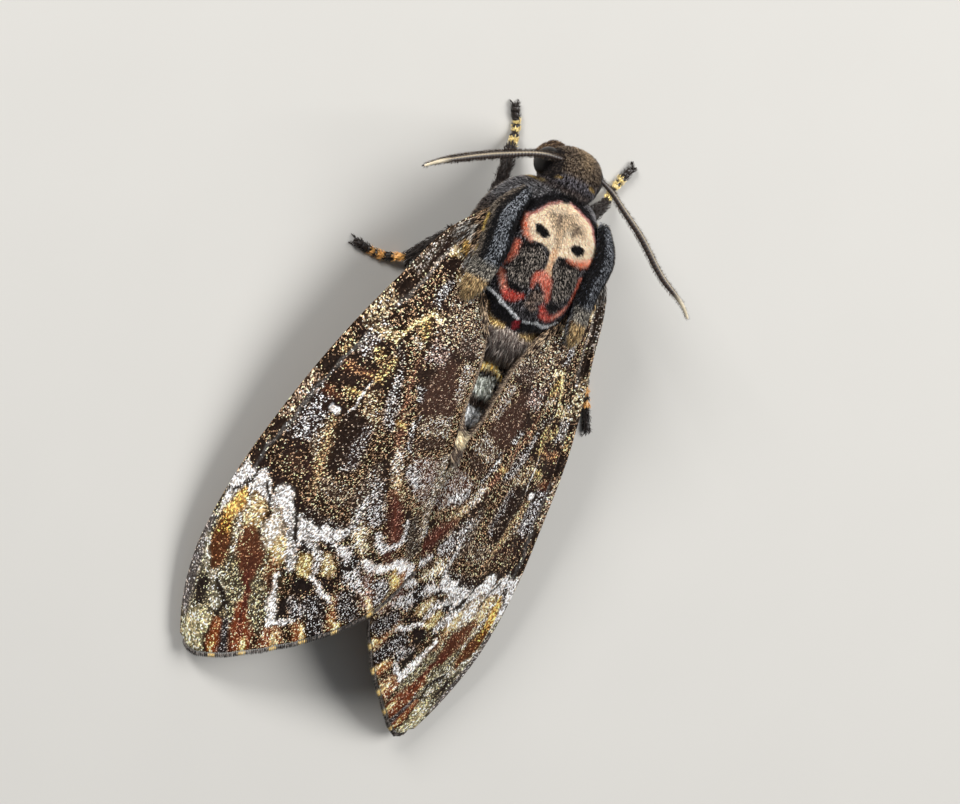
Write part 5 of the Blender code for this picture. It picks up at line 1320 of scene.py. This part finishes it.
def tegulaShape(side):
    rings, around = tegula["grid"]
    share = np.linspace(*tegula["ends"], rings)[:, None]
    angle = np.linspace(0, 2 * np.pi, around, endpoint=False)[None, :, None]
    centre = along(tegula["path"], share[:, 0])[:, None]
    outward = np.array((math.cos(tegulaTilt), 0, -math.sin(tegulaTilt)))
    up = np.array((math.sin(tegulaTilt), 0, math.cos(tegulaTilt)))
    full = (np.sin(np.pi * share) ** tegula["blunt"])[..., None]
    rows = centre + full * (tegula["wide"] * np.cos(angle) * outward + tegula["high"] * np.sin(angle) * up)
    rows[..., 0] *= side
    points, faces = closedTube(rows)
    return points, facingOut(points, faces)


def tegulaPlace(points, side):  # how far round from the crest, positive outwards, and how far along
    share = np.clip((points[:, 1] - tegula["path"][0][1]) / tegula["length"], 0, 1)
    away = points * (side, 1, 1) - along(tegula["path"], share)
    out = away[:, 0] * math.cos(tegulaTilt) - away[:, 2] * math.sin(tegulaTilt)
    up = away[:, 0] * math.sin(tegulaTilt) + away[:, 2] * math.cos(tegulaTilt)
    return np.arctan2(out, up), share


def tegulaColours(points, side):
    turn, share = tegulaPlace(points, side)
    return paint(turn * tegula["around"], share * tegula["length"], tegulaBaseWithShadedRight[side], tegulaMarks,
                 tegula["ragged"], tegula["seed"])


def tegulaSpot(points, side):
    turn, share = tegulaPlace(points, side)
    return tubeSpot(share, turn + np.pi)


for sideName, side in sides.items():
    points, faces = tegulaShape(side)
    makePiece("tegulaSkin" + sideName.title(), points, faces, materials["underSkin"],
              ("tegula_" + sideName,), {"tint": skinTintInPaintedShade(*tegulaColours(points, side))},
              closeSeam(tegulaSpot(points, side)[faces], tubeMap["wide"]))
    roots, normals, draw = scatter(points, faces, tegula["coat"]["count"], 71)
    look = {**tegula["coat"], "scale": 1.0 + tegula["longer"] * smooth(*tegula["long"], roots[:, 1]),
            "lay": smooth(*tegula["laid"], roots[:, 1])}
    flow = np.tile((tegula["outward"] * side, 1.0, 0.0), (len(roots), 1))
    growCoat("tegulaCoat" + sideName.title(), roots, normals, draw, flow, look,
             lambda at: tegulaColours(at, side), tegulaSpot(roots, side), materials["plush"])
print("shoulder flaps ready")

# Eyes, palps, tongue and feelers

eye = {
    "place": (3.2, -11.2, 9.9), "radii": (1.3, 1.75, 1.95), "ends": (0.004, 0.996), "grid": (48, 64),
    "colour": "#0e0907", "facet": 0.05, "depth": 0.008, "bump": 0.6,  # real facets are 0.03 mm, drawn coarser
    "shader": {"Roughness": 0.3, "IOR": 1.52, "Coat Weight": 0.05, "Coat Roughness": 0.08,
               "Specular IOR Level": 0.16},
}
palp = {
    "path": ((1.6, -10.5, 6.7), (1.75, -11.9, 6.1), (1.55, -12.9, 7.1), (1.3, -13.3, 8.5)),
    "radii": (0.55, 0.75, 0.75, 0.4), "rings": 40, "around": 24, "colours": ("#4a3426", "#8a6a48"),
    "hair": ("#382820", "#806850", 0.45),
    "coat": {"count": 2200, "length": 0.75, "width": 0.13, "rise": 26, "rest": 8, "stray": 0.15,
             "spread": 0.3, "rootTone": 0.6, "tipTone": 1.2},
}
feeler = {
    "left": ((2.6, -12.1, 12.2), (5.2, -11.7, 12.6), (10.3, -9.6, 12.5), (15.5, -7.1, 13.3),
             (18.6, -5.4, 13.9), (19.6, -4.5, 13.6)),
    "right": ((-2.6, -12.0, 12.0), (-4.9, -11.2, 12.1), (-7.5, -9.8, 12.2), (-10.5, -8.1, 12.6),
              (-15.3, -4.6, 13.5), (-19.2, -2.6, 14.0), (-20.6, -1.6, 13.7)),
    "radii": (0.26, 0.34, 0.39, 0.35, 0.13), "joints": 46, "ring": 0.08, "oval": 0.8, "around": 28,
    # crest is a pale line along each feeler's upper front: cream scales, drawn narrow and bright as a painted
    # highlight
    "colours": ("#1a1210", "#43342a"), "crest": "#b8a88c", "tip": "#e8d8b8", "crestTurn": 0.55,
    "hair": ("#2a1f1a", "#7a6450", 0.4),
    "coat": {"count": 3600, "length": 0.34, "width": 0.05, "rise": 62, "rest": 40, "stray": 0.2,
             "spread": 0.3, "rootTone": 0.7, "tipTone": 1.3},
}
tongue = {
    "root": (0.0, -11.0, 7.5), "centre": (0.0, -11.9, 4.6), "from": 60.0, "turns": 1.15, "knots": 17,
    "radii": (1.75, 0.6), "tube": 0.42, "taper": ((0, 0.02, 0.9, 1), (0.5, 1, 0.75, 0.3)),
    "rings": 260, "around": 20, "ripples": 64, "ripple": 0.05, "colours": ("#3c2618", "#7a5232"),
}


def eyeMaterial():
    # Compound eye: black-brown glass with a fine grain of facets, so its highlight is tight but broken
    material, tree, shader = startMaterial("compoundEye")
    place = addNode(tree, "ShaderNodeTexCoord")
    cells = addNode(tree, "ShaderNodeTexVoronoi", {}, {
        "Vector": place.outputs["Object"], "Scale": 1 / (eye["facet"] * mm)})
    bump = addNode(tree, "ShaderNodeBump", {"invert": True}, {
        "Height": cells.outputs["Distance"], "Distance": eye["depth"] * mm, "Strength": eye["bump"]})
    tree.links.new(bump.outputs["Normal"], shader.inputs["Normal"])
    setShader(shader, {"Base Color": (*hexLinear(eye["colour"]), 1), **eye["shader"]})
    return material


def nearestPoints(points, roots):
    return np.array([np.argmin(((points - root) ** 2).sum(1)) for root in roots])


def addEye(label, side, glass):
    rings, around = eye["grid"]
    polar = np.pi * np.linspace(*eye["ends"], rings)[:, None]
    angle = np.linspace(0, 2 * np.pi, around, endpoint=False)[None]
    ball = np.broadcast_arrays(np.cos(polar), np.sin(polar) * np.cos(angle), np.sin(polar) * np.sin(angle))
    points, faces = closedTube(np.stack(ball, -1) * eye["radii"] + eye["place"])
    points[:, 0] *= side
    makePiece("eye" + label.title(), points, facingOut(points, faces), glass, ("eye_" + label,))


def addPalp(label, side):
    points, faces, share, angle = sweep(np.array(palp["path"]) * (side, 1, 1), palp["radii"], palp["rings"],
                                        palp["around"], ends=0.12)
    makePiece("palpSkin" + label.title(), points, faces, materials["underSkin"],
              ("palp_" + label,), {"tint": mixTint(*palp["colours"], smooth(0.3, 0.9, share) * 0.6)},
              closeSeam(tubeSpot(share, angle)[faces], tubeMap["wide"]))
    roots, normals, draw = scatter(points, faces, palp["coat"]["count"], 81)
    near = nearestPoints(points, roots)
    flow = heading(palp["path"], share[near]) * (side, 1, 1)
    growCoat("palpCoat" + label.title(), roots, normals, draw, flow, palp["coat"], evenColours(*palp["hair"]),
             tubeSpot(share[near], angle[near]), materials["plush"])


def addFeeler(label, side):
    path, turns = feeler[label], 2 * np.pi * feeler["joints"]
    points, faces, share, angle = sweep(
        path, feeler["radii"], feeler["joints"] * 6, feeler["around"], ends=0.01, oval=feeler["oval"],
        ripple=lambda s: 1 + feeler["ring"] * np.cos(turns * s))
    # painted highlight: a thin pale band where light would run along the feeler, over its cream scales
    lit = smooth(0.94, 0.99, np.cos(angle - feeler["crestTurn"] * side))
    crest = (lit * smooth(0.05, 0.2, share) * 0.75)[:, None]
    tip = (smooth(0.8, 0.92, share) * 0.8 + 0.2 * smooth(0.955, 0.975, share))[:, None]
    tint = mixTint(*feeler["colours"], 0.5 + 0.5 * np.cos(turns * share))
    tint = tint * (1 - crest) + hexLinear(feeler["crest"]) * crest
    tint = tint * (1 - tip) + hexLinear(feeler["tip"]) * tip
    makePiece("feeler" + label.title(), points, faces, materials["horn"], ("antenna_" + label,),
              {"tint": tint}, closeSeam(tubeSpot(share, angle)[faces], tubeMap["wide"]))
    roots, normals, draw = scatter(points, faces, feeler["coat"]["count"], 83,
                                   lambda middle, normal: smooth(0.3, -0.4, normal[:, 2]))
    near = nearestPoints(points[:, :2], roots[:, :2])
    growCoat("feelerFringe" + label.title(), roots, normals, draw, heading(path, share[near]), feeler["coat"],
             evenColours(*feeler["hair"]), tubeSpot(share[near], angle[near]), materials["legHair"])


def addTongue():  # a coil lies in one plane, so its rings are turned about X
    spiral = [tongue["root"]]
    (wide, narrow), (centreY, centreZ) = tongue["radii"], tongue["centre"][1:]
    for n in np.linspace(0, 1, tongue["knots"]):
        turn = math.radians(tongue["from"]) - n * tongue["turns"] * 2 * math.pi
        radius = wide + (narrow - wide) * n
        spiral.append((0.0, centreY + radius * math.cos(turn), centreZ + radius * math.sin(turn)))
    share = np.linspace(0.001, 0.999, tongue["rings"])
    ahead = heading(spiral, share, 0.004)
    aside = np.broadcast_to((1.0, 0.0, 0.0), ahead.shape)
    ripple = 1 + tongue["ripple"] * np.cos(2 * np.pi * share * tongue["ripples"])
    radius = tongue["tube"] * np.interp(share, *tongue["taper"]) * ripple
    points, faces, share, angle = ringsRound(
        along(spiral, share), radius, np.cross(aside, ahead), aside, share, tongue["around"])
    tint = mixTint(*tongue["colours"], 0.5 + 0.5 * np.cos(2 * np.pi * share * tongue["ripples"]))
    makePiece("tongue", points, faces, materials["horn"], ("proboscis",), {"tint": tint},
              closeSeam(tubeSpot(share, angle)[faces], tubeMap["wide"]))


eyeGlass = eyeMaterial()
for sideName, side in sides.items():
    addEye(sideName, side, eyeGlass)
    addPalp(sideName, side)
    addFeeler(sideName, side)
addTongue()
print("head parts ready")

# Legs

legs = {  # body, hip, knee, ankle, start of the foot's flat part, toe
    "fore_left": ((1.9, -6, 4.6), (2.3, -2.8, 1.8), (4.2, -7.8, 3.6), (3.6, -11.2, 1.5), (3.3, -13.2, 0.5),
                  (4.7, -15.9, 0.42)),
    "fore_right": ((-1.9, -6, 4.6), (-2.3, -2.8, 1.8), (-7.4, -6.6, 4.6), (-11.1, -10.2, 1.5),
                   (-11.9, -12.2, 0.5), (-13.1, -15.2, 0.42)),
    "mid_left": ((3.2, 0.6, 4.4), (3.4, 1.4, 1.8), (8.3, 0.6, 5.6), (10, 5.3, 1.5), (12.2, 6.3, 0.5),
                 (16.5, 6.2, 0.42)),
    "mid_right": ((-3.2, 0.6, 4.4), (-3.4, 1.4, 1.8), (-10.3, 2, 6), (-17.2, 7.3, 1.5), (-19.3, 10, 0.5),
                  (-22.3, 15, 0.42)),
    "hind_left": ((3, 4.6, 4.9), (3.5, 5.9, 1.9), (8, 10.8, 4.8), (9.8, 18, 1.5), (10.3, 20.5, 0.5),
                  (11.4, 26, 0.42)),
    "hind_right": ((-3, 4.6, 4.9), (-3.5, 5.9, 1.9), (-8, 10.4, 4.8), (-10.2, 17.2, 1.5), (-10.9, 19.6, 0.5),
                   (-12.6, 24.8, 0.42)),
}
limb = {
    "coxa": (0.85, 1.1, 0.7), "femur": (0.55, 0.95, 0.5), "tibia": (0.45, 0.66, 0.46), "bend": 0.12,
    "foot": 0.42, "footShape": (0.62, 0.95, 1.0, 0.9), "joints": (0.0, 0.40, 0.60, 0.75, 0.87, 1.0),
    "lap": 0.015, "overlap": 0.3, "banded": 0.6,
    # length, radii, degrees apart from the middle, and (share of the length, lift) at the bend and the tip
    "claw": (0.95, (0.16, 0.128, 0.03), 28.0, ((0.6, 0.12), (1.0, -0.16))),
    "spur": (1.8, (0.2, 0.2, 0.04), 32.0, ((0.5, 0.0), (1.0, 0.0))),
    "dark": "#2a211c", "pale": "#e9cf88", "warm": "#efb468",
    "mapRows": 14, "mapRow": (0.1, 0.8),
    "aboveFloor": 0.005,
    "coat": {"count": 2600, "length": 0.5, "width": 0.12, "rise": 24, "rest": 8, "stray": 0.15,
             "spread": 0.35, "rootTone": 0.7, "tipTone": 1.2},
    "long": (1.6, 1.7), "fleck": (1.3, 0.02, 0.35),  # longer above this height; paler hair
}


def legShape(name, joints):
    joints = np.array(joints)
    dark, pale, warm = (hexLinear(limb[key]) for key in ("dark", "pale", "warm"))
    shapes = []

    def add(path, radii, rings, ring, row, around=20, ends=0.05):
        points, faces, share, angle = sweep(path, radii, rings, around, ends)
        low, long = limb["mapRow"]
        uv = np.stack([tubeSpot(share, angle)[:, 0], (row + low + long * share) / limb["mapRows"]], -1)
        tint = np.where((share < limb["banded"])[:, None], ring, dark)
        shapes.append((points, faces, {"tint": tint, "along": uv, "ahead": heading(path, share)}))

    def addPair(end, before, kind, row):
        length, radii, spread, bends = limb[kind]
        ahead = unit(end - before)
        aside = unit(np.cross(ahead, (0, 0, 1.0)))
        start = end - ahead * limb["overlap"]
        for sign in (-1, 1):
            out = ahead * math.cos(math.radians(spread)) + sign * aside * math.sin(math.radians(spread))
            path = [start] + [start + out * length * share + (0, 0, lift) for share, lift in bends]
            add(path, radii, 14, dark, row + (sign > 0), 12, 0.1)

    for row, label in enumerate(("coxa", "femur", "tibia")):
        ahead = unit(joints[row + 1] - joints[row])
        ends = (joints[row] - ahead * limb["overlap"], joints[row + 1] + ahead * limb["overlap"])
        add((ends[0], (ends[0] + ends[1]) / 2 + (0, 0, limb["bend"]), ends[1]), limb[label], 28, dark, row)
    stations = limb["joints"]
    for n, (low, high) in enumerate(zip(stations, stations[1:])):
        path = along(joints[3:], np.linspace(low, min(high + limb["lap"], 1.0), 4))
        ring = (warm if "mid" in name else pale) if n < 3 else dark
        add(path, [limb["foot"] * share for share in limb["footShape"]], 18, ring, 3 + n, ends=0.12)
    addPair(joints[5], joints[4], "claw", 8)
    if "fore" not in name:
        addPair(joints[3], joints[2], "spur", 10)
    return joinShapes(shapes)


def addLeg(name, joints):
    points, faces, data = legShape(name, joints)
    points[:, 2] = np.maximum(points[:, 2], limb["aboveFloor"])
    label = "leg" + name.title().replace("_", "")
    makePiece(label, points, faces, materials["leg"], ("leg_" + name,), {"tint": data["tint"]},
              closeSeam(data["along"][faces], tubeMap["wide"]))
    roots, normals, draw = scatter(points, faces, limb["coat"]["count"], 91)
    near = nearestPoints(points, roots)
    tints = data["tint"][near]
    (height, longer), (brighter, more, share) = limb["long"], limb["fleck"]
    look = {**limb["coat"], "scale": np.where(roots[:, 2] > height, longer, 1.0)}
    growCoat(label + "Coat", roots, normals, draw, data["ahead"][near], look,
             lambda at: (tints, tints * brighter + more, np.full(len(at), share)), data["along"][near],
             materials["legHair"])


for name, joints in legs.items():
    addLeg(name, joints)
print("legs ready")

# Hair on the wing bases and fringes on the wing edges

wingHair = {
    "base": {"count": 6500, "length": 1.1, "width": 0.12, "rise": 20, "rest": 3, "stray": 0.12,
             "spread": 0.35, "rootTone": 0.7, "tipTone": 1.15, "readAt": 0.0},
    "fringe": {"count": 3600, "length": 0.55, "width": 0.11, "rise": 3, "rest": -2, "stray": 0.08,
               "spread": 0.25, "rootTone": 0.8, "tipTone": 1.1, "readAt": 0.0,
               "spots": (0.152, 0.264, 0.378, 0.488, 0.61, 0.755)},  # gold where the veins end
    "inner": {"count": 3200, "length": 0.95, "width": 0.12, "rise": 6, "rest": -10, "stray": 0.2,
              "spread": 0.35, "rootTone": 0.7, "tipTone": 1.2, "readAt": 0.0, "cream": 0.53},
    # hangs from the inner edge down to the abdomen and closes the slot between them
    "curtain": {"count": 2400, "length": 1.9, "width": 0.16, "rise": 4, "rest": 0, "stray": 0.12,
                "spread": 0.3, "rootTone": 0.8, "tipTone": 1.1, "readAt": 0.0,
                "below": 0.3, "hangs": (0.25, 0.25, -1.0)},
}


def readGrid(values, s, t, reach):  # values on a wing's grid at any (s, t)
    rows, columns = values.shape[:2]
    r, c = np.clip(s / reach, 0, 1) * (rows - 1), np.clip(t, 0, 1) * (columns - 1)
    return values[np.rint(r).astype(int), np.rint(c).astype(int)]


def hairOnWing(wing, side, draw, kind):  # where a kind of wing hair grows, how it lies, and its colours
    look, reach = wingHair[kind], wing["reach"]
    count = look["count"]

    def top(s, t):
        return readGrid(wing["top"], s, t, reach)

    if kind == "base":
        s = 0.012 + 0.20 * draw.random(count) ** 1.5
        t = 0.02 + 0.97 * draw.random(count)
        keep = s < 0.10 + 0.09 * smooth(0.75, 0.95, t)
        s, t = s[keep], t[keep]
        ground, fleck, share = (readGrid(values, s, t, reach) for values in wing["hues"])
        hues = (ground, fleck, share[:, 0])
        flow, roots, spots = unit(top(s + 0.03, t) - top(s - 0.01, t)), top(s, t), wingSpot(s, t, reach)
    elif kind == "fringe":
        t = 0.025 + 0.965 * draw.random(count)
        s = np.full(count, reach)
        gold = smooth(0.018, 0.006, np.abs(t[:, None] - np.array(look["spots"])).min(1))
        hues = (mixTint("#2e2622", "#efc978", gold), mixTint("#8a8078", "#ffe6a8", gold),
                np.full(count, 0.45))
        flow, spots = unit(top(s, t) - top(s - 0.02, t)), wingSpot(s, t, reach) - (0.0, 0.005)
        roots = top(s, t) - unit(readGrid(wing["normal"], s, t, reach)) * (0.10 * draw.random(count))[:, None]
    elif kind == "inner":
        s = 0.10 + 0.50 * draw.random(count) ** 0.6
        t = 0.985 + 0.015 * draw.random(count)
        cream = smooth(0.03, 0.012, np.abs(s - look["cream"]))
        hues = (mixTint("#4a3a30", "#d8c49c", cream), mixTint("#a8947c", "#fff0cc", cream),
                np.full(count, 0.4))
        inward = unit(top(s, t) - top(s, t - 0.04))
        flow = unit(unit(top(s + 0.02, t) - top(s - 0.02, t)) + 0.7 * inward)
        roots, spots = top(s, t), wingSpot(s, t, reach)
        look = {**look, "scale": 0.3 + 1.3 * smooth(0.44, 0.53, s)}
    else:
        s = 0.05 + 0.50 * draw.random(count)
        t = 0.955 + 0.03 * draw.random(count)
        hues = evenColours("#54443a", "#b09c84", 0.4)(np.empty((count, 3)))
        roots = top(s, t) - unit(readGrid(wing["normal"], s, t, reach)) * look["below"]
        flow, spots = np.tile(look["hangs"] * np.array((side, 1, 1)), (count, 1)), wingSpot(s, t, reach)
        return roots, np.tile((0.0, 1.0, 0.0), (count, 1)), flow, look, hues, spots + (wingMap["under"], 0.0)
    return roots, unit(readGrid(wing["normal"], s, t, reach)), flow, look, hues, spots


hairNames = {"base": "wingBaseHair", "fringe": "wingFringe", "inner": "wingInnerHair",
             "curtain": "wingCurtain"}
for sideName, side in sides.items():
    draw = np.random.default_rng(111)
    for kind, label in hairNames.items():
        roots, normals, flow, look, hues, spots = hairOnWing(wingSides[sideName], side, draw, kind)
        growCoat(label + sideName.title(), roots, normals, draw, flow, look, lambda at: hues, spots,
                 materials["plush"])
print("wing hair ready")
